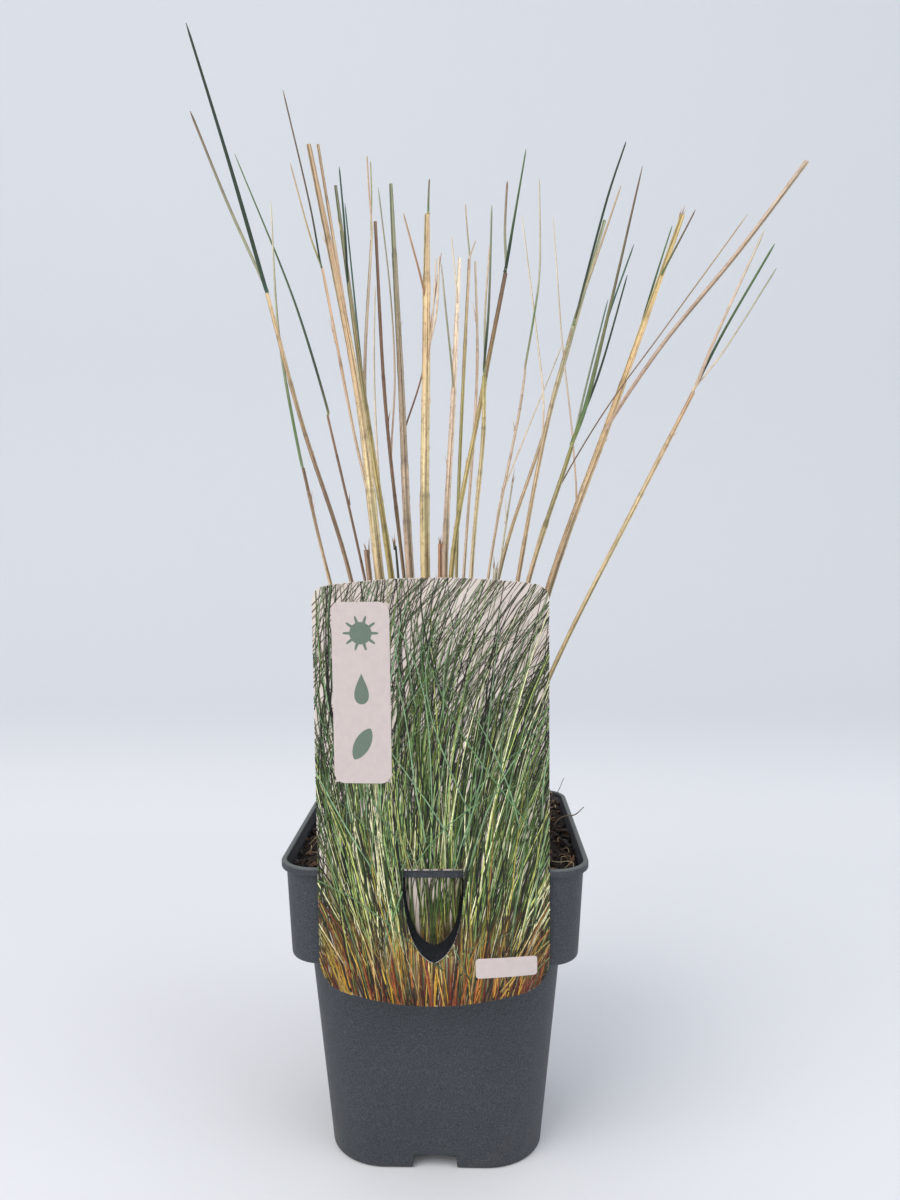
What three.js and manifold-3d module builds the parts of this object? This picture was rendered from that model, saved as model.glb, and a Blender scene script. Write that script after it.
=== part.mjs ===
// Potted European beachgrass: a square nursery pot filled with compost, a printed plant label
// hung on the front rim, and a tuft of separate grass tillers that fan out above it.
// Millimetres, +Z up. The origin is on the ground under the middle of the pot, front is -Y.

import * as THREE from "three";
import { mergeVertices } from "three/addons/utils/BufferGeometryUtils.js";
import Module from "manifold-3d";

const wasm = await Module();
wasm.setup();

// The pot: a square two-litre container
const POT_HEIGHT = 155;
const RIM_SIDE = 145;
const LIP_HEIGHT = 4.5;
const LIP_WIDTH = 2.5;
const COLLAR_TOP_SIDE = 140.5;
const COLLAR_FOOT_SIDE = 136.4;
const COLLAR_FOOT_Z = 108;
const BODY_TOP_SIDE = 121.4;
const BASE_SIDE = 105.8;
const WALL = 1.3;
const CORNER_POINTS = 6;

// The feet: four corner pads with a channel between each pair, and a drain slot over each channel
const CHANNEL_WIDTH = 21;
const CHANNEL_HEIGHT = 6.5;
const CHANNEL_LENGTH = 25;
const DRAIN_WIDTH = 5;
const DRAIN_LENGTH = 14;

// The label slot in the middle of the front collar, open at its foot, with the lip as a bar across it
const SLOT_WIDTH = 34;
const SLOT_BACK_Y = -62.5;
const BAR_THICKNESS = 1.6;

// The compost
const GAP = 0.3;
const COMPOST_EDGE_Z = 148;
const COMPOST_MOUND = 3.5;
const COMPOST_RELIEF = 1.1;
const HOLE_DEPTH = 12;

// The label: a thin card with an arched top and foot, hung by a tongue cut out of its middle
const LABEL_WIDTH = 105.6;
const LABEL_TOP_Z = 288.5;
const LABEL_FOOT_Z = 94.3;
const LABEL_THICKNESS = 0.7;
const LABEL_ARCH = 3;
const LABEL_TOP_RADIUS = 8;
const LABEL_FOOT_RADIUS = 17;
const LABEL_HANG_Z = 155.5;
const LABEL_HANG_Y = -76.2;
const TONGUE_WIDTH = 26;
const TONGUE_LENGTH = 42.5;
const OPENING_LENGTH = 42;
const TONGUE_CUT = 0.8;
const TONGUE_LEAN = 0.6;
const LABEL_TILT = -0.0095;

// Stems and blades: sides and rows of their tubes
const STEM_SIDES = 6;
const STEM_ROWS = 8;
const STEM_FULLNESS = 0.7;
const BLADE_SIDES = 5;
const BLADE_ROWS = 7;
const BLADE_ROOT = 9;
const BLADE_LEAVE = 2.5;
const BLADE_TIP_RADIUS = 0.36;
const TAPER_FROM = 0.55;

// Each tiller: where it stands on the compost [x, y], the points that its stem leans through, its
// radius at the foot and at the top, and its rolled blades. A blade has its tip, the points on the
// way, its radius, the radius at its tip if it ends blunt, and the height at which it leaves the
// stem if that is not the stem's end. Where the blades at the end are green, they are a piece of
// their own.
const TILLERS = [
  {
    foot: [-21, 8], stem: [[-60, 20, 282], [-75, 26, 344]], radius: [0.95, 0.85], green: true,
    blades: [{ via: [[-88, 32, 413]], tip: [-98, 62, 500], radius: 0.8 }],
  },
  {
    foot: [-22, -8], stem: [[-43, -23, 285], [-65, -31, 361], [-80, -38, 422]], radius: [1.1, 0.9],
    green: true,
    blades: [
      { via: [[-93, -49, 473]], tip: [-110, -62, 534], radius: 0.95, end: 0.5 },
      { via: [[-99, -30, 464]], tip: [-120, -20, 514], radius: 0.75, end: 0.55 },
    ],
  },
  {
    foot: [-16, 15], stem: [[-43, 43, 284], [-66, 62, 377]], radius: [0.8, 0.7], green: true,
    blades: [{ via: [[-88, 79, 445]], tip: [-129, 104, 542], radius: 0.75 }],
  },
  {
    foot: [-15, 2], stem: [[-34, 8, 310], [-46, 11, 365], [-62, 14, 448]], radius: [0.85, 0.7],
    green: true,
    blades: [
      { via: [[-66, 10, 475]], tip: [-79, 2, 534], radius: 0.5 },
      { via: [[-68, 19, 465]], tip: [-81, 32, 509], radius: 0.5 },
    ],
  },
  {
    foot: [-16, -9], stem: [[-29, -18, 287], [-38, -24, 372], [-61, -32, 493]], radius: [2.9, 1.1],
    blades: [],
  },
  {
    foot: [-10, 9], stem: [[-37, 22, 310], [-45, 29, 382], [-68, 44, 523]], radius: [1, 0.8],
    blades: [],
  },
  {
    foot: [-9, -3], stem: [[-24, -7, 286], [-37, -9, 374], [-51, -12, 481]], radius: [1.9, 0.75],
    blades: [
      { from: 430, via: [[-45, -21, 455]], tip: [-46, -34, 482], radius: 0.6 },
      { from: 368, via: [[-41, -2, 407]], tip: [-49, 10, 480], radius: 0.55 },
      { from: 322, via: [[-34, 12, 372], [-36, 27, 408]], tip: [-37, 44, 446], radius: 0.5 },
    ],
  },
  {
    foot: [-8, 17], stem: [[-33, 30, 285], [-43, 44, 384], [-40, 58, 484]], radius: [1.1, 0.8],
    blades: [
      { via: [[-41, 55, 502]], tip: [-42, 51, 520], radius: 0.5 },
      { via: [[-40, 64, 502]], tip: [-41, 70, 524], radius: 0.5 },
    ],
  },
  {
    foot: [-3, 3], stem: [[-18, 0, 286], [-27, -2, 373], [-32, -4, 466]], radius: [1, 0.8],
    blades: [{ from: 345, via: [[-23, 3, 388], [-25, 8, 430]], tip: [-32, 16, 490], radius: 0.55 }],
  },
  {
    foot: [-3, 11], stem: [[-16, 15, 286], [-21, 17, 393], [-26, 20, 493]], radius: [2.7, 0.9],
    blades: [{ from: 358, via: [[-10, 25, 394]], tip: [0, 44, 464], radius: 0.5 }],
  },
  {
    foot: [1, -8], stem: [[-6, -16, 287], [-5, -23, 403], [-4, -26, 462]], radius: [2.9, 1.2],
    green: true,
    blades: [{ via: [], tip: [-3, -26, 479], radius: 0.6 }],
    branches: [
      { from: 418, via: [], tip: [-15, -44, 457], radius: 0.6 },
      { from: 391, via: [[0, -25, 415], [1.3, -25, 433]], tip: [1.6, -25, 443], radius: 0.6 },
      { from: 384, via: [[-2.2, -29, 408]], tip: [0, -31, 440], radius: 0.45 },
    ],
  },
  {
    foot: [6, 1], stem: [[3, 2, 286], [8, 3, 383], [11, 4, 450]], radius: [2, 0.8],
    blades: [
      { from: 378, via: [[4, -9, 422]], tip: [2, -16, 442], radius: 0.5 },
      { from: 420, via: [], tip: [6, 22, 466], radius: 0.5 },
    ],
  },
  {
    foot: [10, 9], stem: [[9, 22, 285], [14, 41, 422], [16, 46, 461]], radius: [1, 0.85],
    blades: [
      { via: [[15, 50, 476]], tip: [14, 54, 494], radius: 0.5 },
      { via: [], tip: [19, 38, 469], radius: 0.5 },
    ],
  },
  {
    foot: [6, 18], stem: [[13, 41, 285], [20, 61, 401], [19, 72, 467]], radius: [0.95, 0.65],
    blades: [],
  },
  {
    foot: [9, -14], stem: [[7, -22, 287], [21, -26, 371], [33, -30, 433]], radius: [1.25, 1],
    green: true,
    blades: [
      { via: [[33, -27, 453]], tip: [34, -22, 479], radius: 0.65, end: 0.5 },
      { via: [[36, -36, 451]], tip: [42, -48, 484], radius: 0.75 },
    ],
  },
  {
    foot: [14, -4], stem: [[17, -35, 287], [23, -51, 357], [23, -56, 380]], radius: [1.05, 0.9],
    green: true,
    blades: [
      { via: [[23, -51, 408]], tip: [25, -44, 442], radius: 0.5 },
      { via: [[25, -65, 406]], tip: [26, -80, 448], radius: 0.6 },
    ],
  },
  {
    foot: [17, 5], stem: [[26, 8, 286], [42, 10, 373], [45, 10, 393]], radius: [0.8, 0.65],
    green: true,
    blades: [{ via: [[50, 12, 422], [53, 13, 445]], tip: [53, 16, 494], radius: 0.55 }],
    branches: [{ from: 325, via: [[44, 19, 356]], tip: [67, 40, 412], radius: 0.5 }],
  },
  {
    foot: [22, -3], stem: [[41, -12, 286], [56, -17, 369], [67, -20, 410]], radius: [1.1, 1.05],
    green: true,
    blades: [
      { via: [[82, -33, 470]], tip: [89, -38, 491], radius: 0.6 },
      { via: [[76, -14, 436]], tip: [92, -4, 483], radius: 0.75 },
    ],
    branches: [{ from: 350, via: [[54, -8, 374], [52, 16, 412]], tip: [46, 62, 490], radius: 0.5 }],
  },
  {
    foot: [15, 14], stem: [[32, 30, 285], [58, 41, 367], [92, 56, 485]], radius: [1.1, 0.9],
    blades: [],
  },
  {
    foot: [19, -13], stem: [[45, -34, 286], [64, -44, 349]], radius: [1.35, 1], green: true,
    blades: [
      { via: [[69, -48, 364], [78, -57, 404]], tip: [91, -72, 467], radius: 1 },
      { via: [[70, -45, 366], [79.4, -52, 405]], tip: [91.3, -52, 439.7], radius: 0.55 },
      { via: [[70, -38, 372]], tip: [83, -26, 421], radius: 0.6 },
      { via: [[76, -44, 380]], tip: [90, -40, 429], radius: 0.6 },
    ],
    branches: [{ from: 322, via: [[79, -34, 363], [111, -23, 407]], tip: [155, -8, 467], radius: 0.36 }],
  },
  {
    foot: [25, 6], stem: [[58, 8, 279], [91, 10, 372], [126, 12, 473]], radius: [2.3, 1.2],
    blades: [
      { from: 404, via: [[113, 20, 438]], tip: [126, 34, 475], radius: 0.65 },
      { from: 438, via: [], tip: [129, -6, 470], radius: 0.6 },
      { from: 360, via: [[107, -32, 396], [132, -78, 429]], tip: [148, -112, 453], radius: 0.95, end: 1 },
      { from: 320, via: [[72, 21, 357], [68, 42, 412]], tip: [65, 74, 493], radius: 0.45 },
    ],
  },
  {
    foot: [27, -9], stem: [[55, -30, 236], [95, -53, 326], [116, -64, 371]], radius: [1.2, 0.9],
    green: true,
    blades: [
      { via: [[126, -72, 394]], tip: [145, -84, 430], radius: 0.6, end: 0.45 },
      { via: [[129, -60, 388]], tip: [156, -50, 429], radius: 0.5 },
      { via: [[122, -77, 391]], tip: [135, -102, 430], radius: 0.75, end: 0.45 },
    ],
  },
];

// Short dead shoots and broken sheaths: where each stands, its broken top, and its radii
const SHORT_SHOOTS = [
  { foot: [-19, -20], top: [-35, -20, 300], radius: [1.6, 1.4] },
  { foot: [-9, -17], top: [-21, -24, 302], radius: [1.2, 0.5] },
  { foot: [2, -21], top: [2, -26, 303], radius: [1.4, 1] },
  { foot: [20, -24], top: [29, -31, 291], radius: [1.3, 1.1] },
  { foot: [9, -22], top: [37, -27, 333], radius: [0.8, 0.4] },
];

// Cut stubs of old sheaths round the outside of the tuft: they lean away from its middle
const TUFT_MIDDLE = [3, 3];
const STUB_REACH = 19;
const STUB_HEIGHTS = [22, 46];
const STUB_RADII = [1.1, 1.7];
const STUB_LEAN = 0.55;
const STUB_SEED = 11;

function randomFrom(seed) {
  // The same small generator everywhere: a multiply and a remainder
  let state = seed;
  return () => {
    state = (state * 16807) % 2147483647;
    return state / 2147483647;
  };
}

// Solids for joining and cutting

function toSolid(geometry) {
  const bare = geometry.clone();
  bare.deleteAttribute("normal");
  bare.deleteAttribute("uv");
  const merged = mergeVertices(bare, 1e-4);
  return new wasm.Manifold(new wasm.Mesh({
    numProp: 3,
    vertProperties: new Float32Array(merged.attributes.position.array),
    triVerts: new Uint32Array(merged.index.array),
  }));
}

function toGeometry(solid) {
  const mesh = solid.getMesh();
  const geometry = new THREE.BufferGeometry();
  geometry.setAttribute("position", new THREE.BufferAttribute(mesh.vertProperties, 3));
  geometry.setIndex(new THREE.BufferAttribute(mesh.triVerts, 1));
  geometry.computeVertexNormals();
  return geometry;
}

function block(x, y, z, width, depth, height) {
  // A box given by its middle and its sizes
  const geometry = new THREE.BoxGeometry(width, depth, height);
  geometry.translate(x, y, z);
  return toSolid(geometry);
}

// A square with round corners, as columns round a drum

function squarePoint(side, radius, column) {
  const corner = Math.floor(column / CORNER_POINTS);
  const step = (column % CORNER_POINTS) / (CORNER_POINTS - 1);
  const angle = (corner + step) * Math.PI / 2;
  const middle = (corner + 0.5) * Math.PI / 2;
  const reach = side / 2 - radius;
  return [
    Math.sign(Math.cos(middle)) * reach + radius * Math.cos(angle),
    Math.sign(Math.sin(middle)) * reach + radius * Math.sin(angle),
  ];
}

function squareDrum(rows, heightAt = (x, y, z) => z) {
  // A closed drum of square sections, one for each row of [z, side, corner radius]
  const columns = 4 * CORNER_POINTS;
  const geometry = new THREE.CylinderGeometry(1, 1, 1, columns, rows.length - 1);
  const spots = geometry.attributes.position;
  for (let i = 0; i < spots.count; i += 1) {
    const row = rows[Math.round((spots.getY(i) + 0.5) * (rows.length - 1))];
    const onAxis = Math.hypot(spots.getX(i), spots.getZ(i)) < 0.5;
    const turn = Math.atan2(spots.getX(i), spots.getZ(i)) / (2 * Math.PI);
    const column = Math.round((turn + 1) * columns) % columns;
    const [x, y] = onAxis ? [0, 0] : squarePoint(row[1], row[2], column);
    spots.setXYZ(i, x, y, heightAt(x, y, row[0]));
  }
  return toSolid(geometry);
}

// The pot

function potOutside() {
  const lipZ = POT_HEIGHT - LIP_HEIGHT;
  return squareDrum([
    [0, BASE_SIDE - 2, 27.5],
    [1.2, BASE_SIDE, 28.5],
    [25, BASE_SIDE + 3.8, 27],
    [60, BASE_SIDE + 9, 24],
    [COLLAR_FOOT_Z - 0.2, BODY_TOP_SIDE, 20],
    [COLLAR_FOOT_Z, COLLAR_FOOT_SIDE - 2, 14],
    [COLLAR_FOOT_Z + 1.2, COLLAR_FOOT_SIDE, 15],
    [lipZ, COLLAR_TOP_SIDE, 16],
    [lipZ + 0.3, RIM_SIDE - 1, 17],
    [lipZ + 0.9, RIM_SIDE, 17.5],
    [POT_HEIGHT - 0.8, RIM_SIDE, 17.5],
    [POT_HEIGHT, RIM_SIDE - 1, 17],
  ]);
}

function potInside() {
  // The space inside the wall, up past the rim
  const wall = 2 * WALL;
  return squareDrum([
    [WALL, BASE_SIDE - wall, 27],
    [60, BASE_SIDE + 9 - wall, 23],
    [COLLAR_FOOT_Z + WALL, BODY_TOP_SIDE - wall, 19],
    [COLLAR_FOOT_Z + WALL + 0.2, COLLAR_FOOT_SIDE - wall, 14],
    [POT_HEIGHT - LIP_HEIGHT, COLLAR_TOP_SIDE - wall, 15],
    [POT_HEIGHT - LIP_HEIGHT + 0.8, RIM_SIDE - 2 * LIP_WIDTH, 15.5],
    [POT_HEIGHT + 10, RIM_SIDE - 2 * LIP_WIDTH, 15.5],
  ]);
}

function channels(grow) {
  // The four channels under the floor, from the middle of each side inwards
  const reach = BASE_SIDE / 2;
  const length = CHANNEL_LENGTH + grow + 10;
  const place = reach - CHANNEL_LENGTH - grow + length / 2;
  const height = CHANNEL_HEIGHT + grow + 10;
  const z = CHANNEL_HEIGHT + grow - height / 2;
  const width = CHANNEL_WIDTH + 2 * grow;
  return block(0, -place, z, width, length, height)
    .add(block(0, place, z, width, length, height))
    .add(block(-place, 0, z, length, width, height))
    .add(block(place, 0, z, length, width, height));
}

function drainSlots() {
  const place = BASE_SIDE / 2 - CHANNEL_LENGTH + DRAIN_LENGTH / 2 + 2;
  return block(0, -place, CHANNEL_HEIGHT, DRAIN_WIDTH, DRAIN_LENGTH, 10)
    .add(block(0, place, CHANNEL_HEIGHT, DRAIN_WIDTH, DRAIN_LENGTH, 10))
    .add(block(-place, 0, CHANNEL_HEIGHT, DRAIN_LENGTH, DRAIN_WIDTH, 10))
    .add(block(place, 0, CHANNEL_HEIGHT, DRAIN_LENGTH, DRAIN_WIDTH, 10));
}

function slotPocket(grow) {
  // The recess in the front collar that the label's tongue hangs in, from under the collar to the rim
  const front = -RIM_SIDE / 2 + BAR_THICKNESS;
  const back = SLOT_BACK_Y + grow;
  const foot = COLLAR_FOOT_Z - 5 - grow;
  return block(
    0, (front + back) / 2, (foot + POT_HEIGHT + 5) / 2,
    SLOT_WIDTH + 2 * grow, back - front, POT_HEIGHT + 5 - foot,
  );
}

function slotFace() {
  // The part of the collar's front that is cut away under the lip
  const lipZ = POT_HEIGHT - LIP_HEIGHT;
  const front = -RIM_SIDE / 2 - 2;
  const back = -RIM_SIDE / 2 + LIP_WIDTH + 1;
  const foot = COLLAR_FOOT_Z - 5;
  return block(0, (front + back) / 2, (foot + lipZ) / 2, SLOT_WIDTH, back - front, lipZ - foot);
}

function potSolid() {
  const inside = potInside()
    .subtract(channels(WALL))
    .subtract(slotPocket(WALL));
  return potOutside()
    .subtract(inside)
    .subtract(channels(0))
    .subtract(drainSlots())
    .subtract(slotPocket(0))
    .subtract(slotFace());
}

// The compost

function compostTop(x, y) {
  // A low mound, higher at the back right, with small lumps
  const edge = Math.max(Math.abs(x), Math.abs(y)) / (RIM_SIDE / 2);
  const mound = COMPOST_MOUND * (1 - edge * edge);
  const tilt = 0.012 * x + 0.014 * y;
  const lumps = Math.sin(0.31 * x + 1.3) * Math.cos(0.27 * y) + 0.6 * Math.sin(0.53 * y - 0.41 * x);
  return COMPOST_EDGE_Z + mound + tilt + COMPOST_RELIEF * lumps;
}

function compostBlank() {
  const wall = 2 * (WALL + GAP);
  const bodySide = BODY_TOP_SIDE - wall;
  const topSide = COLLAR_TOP_SIDE - wall - 0.6;
  const floorZ = WALL + GAP;
  const stepZ = COLLAR_FOOT_Z + WALL + GAP;
  const rings = [0.86, 0.72, 0.58, 0.44, 0.3, 0.15];
  const rows = [
    [floorZ, BASE_SIDE - wall, 27],
    [60, BASE_SIDE + 9 - wall, 23],
    [stepZ, bodySide, 19],
    [stepZ + 0.2, COLLAR_FOOT_SIDE - wall, 14],
    [COMPOST_EDGE_Z - 6, topSide, 15],
    [POT_HEIGHT, topSide, 15],
    ...rings.map((share) => [POT_HEIGHT, topSide * share, 15 * share]),
  ];
  return squareDrum(rows, (x, y, z) => (z === POT_HEIGHT ? compostTop(x, y) : z));
}

// Stems and blades

function tube(points, radiusAt, sides, rows) {
  // A drum bent along a smooth curve through the points, as thick as radiusAt says on the way
  const curve = new THREE.CatmullRomCurve3(points, false, "centripetal");
  const geometry = new THREE.CylinderGeometry(1, 1, 1, sides, rows);
  const spots = geometry.attributes.position;
  for (let i = 0; i < spots.count; i += 1) {
    const along = spots.getY(i) + 0.5;
    const centre = curve.getPoint(along);
    const ahead = curve.getTangent(along);
    const across = new THREE.Vector3(0, 1, 0).cross(ahead).normalize();
    const out = new THREE.Vector3().crossVectors(ahead, across);
    const radius = radiusAt(along);
    centre.addScaledVector(across, radius * spots.getX(i));
    centre.addScaledVector(out, -radius * spots.getZ(i));
    spots.setXYZ(i, centre.x, centre.y, centre.z);
  }
  return toSolid(geometry);
}

function stemPoints(tiller) {
  // From the bottom of its hole, through the compost's top, to the stem's end
  const [x, y] = tiller.foot;
  const next = new THREE.Vector3(...tiller.stem[0]);
  const foot = new THREE.Vector3(x, y, compostTop(x, y));
  const down = foot.clone().sub(next).normalize().multiplyScalar(HOLE_DEPTH);
  return [foot.clone().add(down), ...tiller.stem.map((spot) => new THREE.Vector3(...spot))];
}

function stemRadius(tiller) {
  const [foot, top] = tiller.radius;
  return (along) => top + (foot - top) * (1 - along) ** STEM_FULLNESS;
}

function stemSolid(tiller) {
  return tube(stemPoints(tiller), stemRadius(tiller), STEM_SIDES, STEM_ROWS);
}

function holeFor(tiller) {
  // The stem's own foot, grown by the gap all round, as a plain hole in the compost
  const points = stemPoints(tiller);
  const down = points[0].clone().sub(points[1]).normalize();
  const bottom = points[0].clone().addScaledVector(down, GAP);
  const top = points[0].clone().addScaledVector(down, -HOLE_DEPTH - 14);
  return tube([bottom, top], () => tiller.radius[0] + GAP + 0.1, STEM_SIDES + 2, 1);
}

function spotAtHeight(curve, z) {
  // The place along a rising curve where it reaches the height
  let low = 0;
  let high = 1;
  for (let i = 0; i < 30; i += 1) {
    const middle = (low + high) / 2;
    if (curve.getPoint(middle).z < z) low = middle;
    else high = middle;
  }
  return low;
}

function bladeSolid(tiller, blade, apart) {
  // A rolled blade that tapers to its tip. It starts inside the stem, or just beyond its end
  const curve = new THREE.CatmullRomCurve3(stemPoints(tiller), false, "centripetal");
  const along = blade.from ? spotAtHeight(curve, blade.from) : 1;
  const spot = curve.getPoint(along);
  const ahead = curve.getTangent(along);
  const start = spot.clone().addScaledVector(ahead, apart ? GAP : -BLADE_ROOT);
  const second = spot.clone().addScaledVector(ahead, apart ? BLADE_LEAVE : 1);
  const points = [start, second, ...blade.via, blade.tip].map(
    (place) => (Array.isArray(place) ? new THREE.Vector3(...place) : place),
  );
  const stemEnd = apart ? tiller.radius[1] * 0.95 : blade.radius;
  const tipRadius = blade.end ?? BLADE_TIP_RADIUS;
  const radiusAt = (t) => {
    const foot = stemEnd + (blade.radius - stemEnd) * Math.min(1, t * BLADE_ROWS);
    return foot + (tipRadius - foot) * Math.max(0, t - TAPER_FROM) / (1 - TAPER_FROM);
  };
  return tube(points, radiusAt, BLADE_SIDES, BLADE_ROWS);
}

function stubSolid(tiller, random) {
  // A cut sheath stub that grows from the tiller's foot and leans away from the tuft
  const [x, y] = tiller.foot;
  const away = new THREE.Vector3(x - TUFT_MIDDLE[0], y - TUFT_MIDDLE[1], 0).normalize();
  const height = STUB_HEIGHTS[0] + (STUB_HEIGHTS[1] - STUB_HEIGHTS[0]) * random();
  const radius = STUB_RADII[0] + (STUB_RADII[1] - STUB_RADII[0]) * random();
  const side = (random() - 0.5) * 0.8;
  const lean = new THREE.Vector3(away.x - side * away.y, away.y + side * away.x, 0);
  const foot = new THREE.Vector3(x, y, compostTop(x, y) + 1.5);
  const spots = [0, 0.5, 1].map((t) => {
    const reach = height * STUB_LEAN * t * (0.7 + 0.5 * t);
    return foot.clone().addScaledVector(lean, reach).add(new THREE.Vector3(0, 0, height * t));
  });
  return tube(spots, (t) => radius * (1 - 0.35 * t), STEM_SIDES, 4);
}

function isOutside(tiller) {
  const [x, y] = tiller.foot;
  return Math.hypot(x - TUFT_MIDDLE[0], y - TUFT_MIDDLE[1]) > STUB_REACH;
}

// The label

function labelOutline() {
  // Straight sides, round corners, and a low arch at the top and at the foot
  const half = LABEL_WIDTH / 2;
  const top = LABEL_TOP_Z - LABEL_ARCH;
  const foot = LABEL_FOOT_Z + LABEL_ARCH;
  const shape = new THREE.Shape();
  shape.moveTo(-half, foot + LABEL_FOOT_RADIUS);
  shape.quadraticCurveTo(-half, foot + 1, -half + LABEL_FOOT_RADIUS, foot);
  shape.quadraticCurveTo(0, foot - 2 * LABEL_ARCH, half - LABEL_FOOT_RADIUS, foot);
  shape.quadraticCurveTo(half, foot + 1, half, foot + LABEL_FOOT_RADIUS);
  shape.lineTo(half, top - LABEL_TOP_RADIUS);
  shape.quadraticCurveTo(half, top - 0.5, half - LABEL_TOP_RADIUS, top);
  shape.quadraticCurveTo(0, top + 2 * LABEL_ARCH, -half + LABEL_TOP_RADIUS, top);
  shape.quadraticCurveTo(-half, top - 0.5, -half, top - LABEL_TOP_RADIUS);
  return shape;
}

function tongueOutline(half, foot, tip) {
  // A shield: straight sides, then two round flanks that meet in a point at the tip
  const height = foot - tip;
  const shoulder = tip + height * 0.75;
  const flank = tip + height * 0.1;
  const shape = new THREE.Shape();
  shape.moveTo(-half, foot);
  shape.lineTo(-half, shoulder);
  shape.quadraticCurveTo(-half * 0.88, flank, 0, tip);
  shape.quadraticCurveTo(half * 0.88, flank, half, shoulder);
  shape.lineTo(half, foot);
  return shape;
}

function plate(shape, depth, segments) {
  // An outline in x and z, made a thick plate across y
  const geometry = new THREE.ExtrudeGeometry(shape, {
    depth, bevelEnabled: false, curveSegments: segments,
  });
  geometry.rotateX(Math.PI / 2);
  geometry.translate(0, depth / 2, 0);
  return toSolid(geometry);
}

function labelFront(x, z) {
  // The y of the card's front: it hangs near the lip, leans out at its head, and bows at its foot
  const below = Math.max(0, (LABEL_HANG_Z - z) / (LABEL_HANG_Z - LABEL_FOOT_Z));
  const above = Math.max(0, (z - LABEL_HANG_Z) / (LABEL_TOP_Z - LABEL_HANG_Z));
  const middle = LABEL_HANG_Y - 3.4 * below ** 1.5 - 4 * above ** 1.5;
  const bow = 2.3 + 6.6 * below ** 1.5 + 1.2 * above;
  return middle + bow * (2 * x / LABEL_WIDTH) ** 2;
}

function cardSolid() {
  // A bent slab, cut to the outline, with the tongue's opening through it
  const height = LABEL_TOP_Z - LABEL_FOOT_Z + 10;
  const slab = new THREE.BoxGeometry(LABEL_WIDTH + 6, LABEL_THICKNESS, height, 10, 1, 9);
  slab.translate(0, 0, (LABEL_TOP_Z + LABEL_FOOT_Z) / 2);
  const spots = slab.attributes.position;
  for (let i = 0; i < spots.count; i += 1) {
    const x = spots.getX(i);
    const z = spots.getZ(i);
    spots.setY(i, labelFront(x, z) + LABEL_THICKNESS / 2 + spots.getY(i));
  }
  const opening = plate(
    tongueOutline(TONGUE_WIDTH / 2 + TONGUE_CUT, LABEL_HANG_Z + 1, LABEL_HANG_Z - OPENING_LENGTH),
    400, 5,
  );
  return toSolid(slab).intersect(plate(labelOutline(), 400, 5)).subtract(opening);
}

function tongueSolid() {
  // The tongue folds back over the lip and hangs down behind it
  const front = LABEL_HANG_Y + LABEL_THICKNESS;
  const behind = -RIM_SIDE / 2 + BAR_THICKNESS + GAP;
  const top = LABEL_HANG_Z + LABEL_THICKNESS;
  const drop = TONGUE_LENGTH - (behind - front);
  const section = new THREE.Shape();
  section.moveTo(front - LABEL_THICKNESS, LABEL_HANG_Z);
  section.lineTo(behind, LABEL_HANG_Z);
  section.lineTo(behind + TONGUE_LEAN, LABEL_HANG_Z - drop);
  section.lineTo(behind + TONGUE_LEAN + LABEL_THICKNESS, LABEL_HANG_Z - drop);
  section.lineTo(behind + LABEL_THICKNESS, top);
  section.lineTo(front - LABEL_THICKNESS, top + 0.9);
  const geometry = new THREE.ExtrudeGeometry(section, { depth: TONGUE_WIDTH, bevelEnabled: false });
  geometry.rotateX(Math.PI / 2);
  geometry.rotateZ(Math.PI / 2);
  geometry.translate(-TONGUE_WIDTH / 2, 0, 0);
  const outline = plate(
    tongueOutline(TONGUE_WIDTH / 2 + 1, LABEL_HANG_Z + 20, LABEL_HANG_Z - drop), 400, 5,
  );
  return toSolid(geometry).intersect(outline);
}

// Materials

function finish(color, roughness) {
  return new THREE.MeshStandardMaterial({ color, roughness, metalness: 0, side: THREE.DoubleSide });
}

const POT_FINISH = finish(0x4b5358, 0.62);
const COMPOST_FINISH = finish(0x2e211a, 0.95);
const LABEL_FINISH = finish(0xdacec6, 0.4);
const STRAW_FINISH = finish(0xc7aa7e, 0.7);
const GREEN_FINISH = finish(0x53703f, 0.6);

function part(name, solid, material) {
  const mesh = new THREE.Mesh(toGeometry(solid), material);
  mesh.name = name;
  return mesh;
}

// The whole object

const plant = new THREE.Group();
plant.add(part("pot", potSolid(), POT_FINISH));

let compost = compostBlank()
  .subtract(channels(WALL + GAP))
  .subtract(slotPocket(WALL + GAP));
for (const tiller of TILLERS) {
  compost = compost.subtract(holeFor(tiller));
}
// The label hangs a little askew, turned about the place where it hangs
const label = part("label", cardSolid().add(tongueSolid()), LABEL_FINISH);
label.geometry.translate(0, 0, -LABEL_HANG_Z);
label.position.z = LABEL_HANG_Z;
label.rotation.y = LABEL_TILT;
plant.add(label);

SHORT_SHOOTS.forEach((shoot, index) => {
  const tiller = { foot: shoot.foot, stem: [shoot.top], radius: shoot.radius };
  compost = compost.subtract(holeFor(tiller));
  const shaft = tube(stemPoints(tiller), stemRadius(tiller), STEM_SIDES, 3);
  plant.add(part(`short_shoot_${index + 1}`, shaft, STRAW_FINISH));
});

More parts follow.
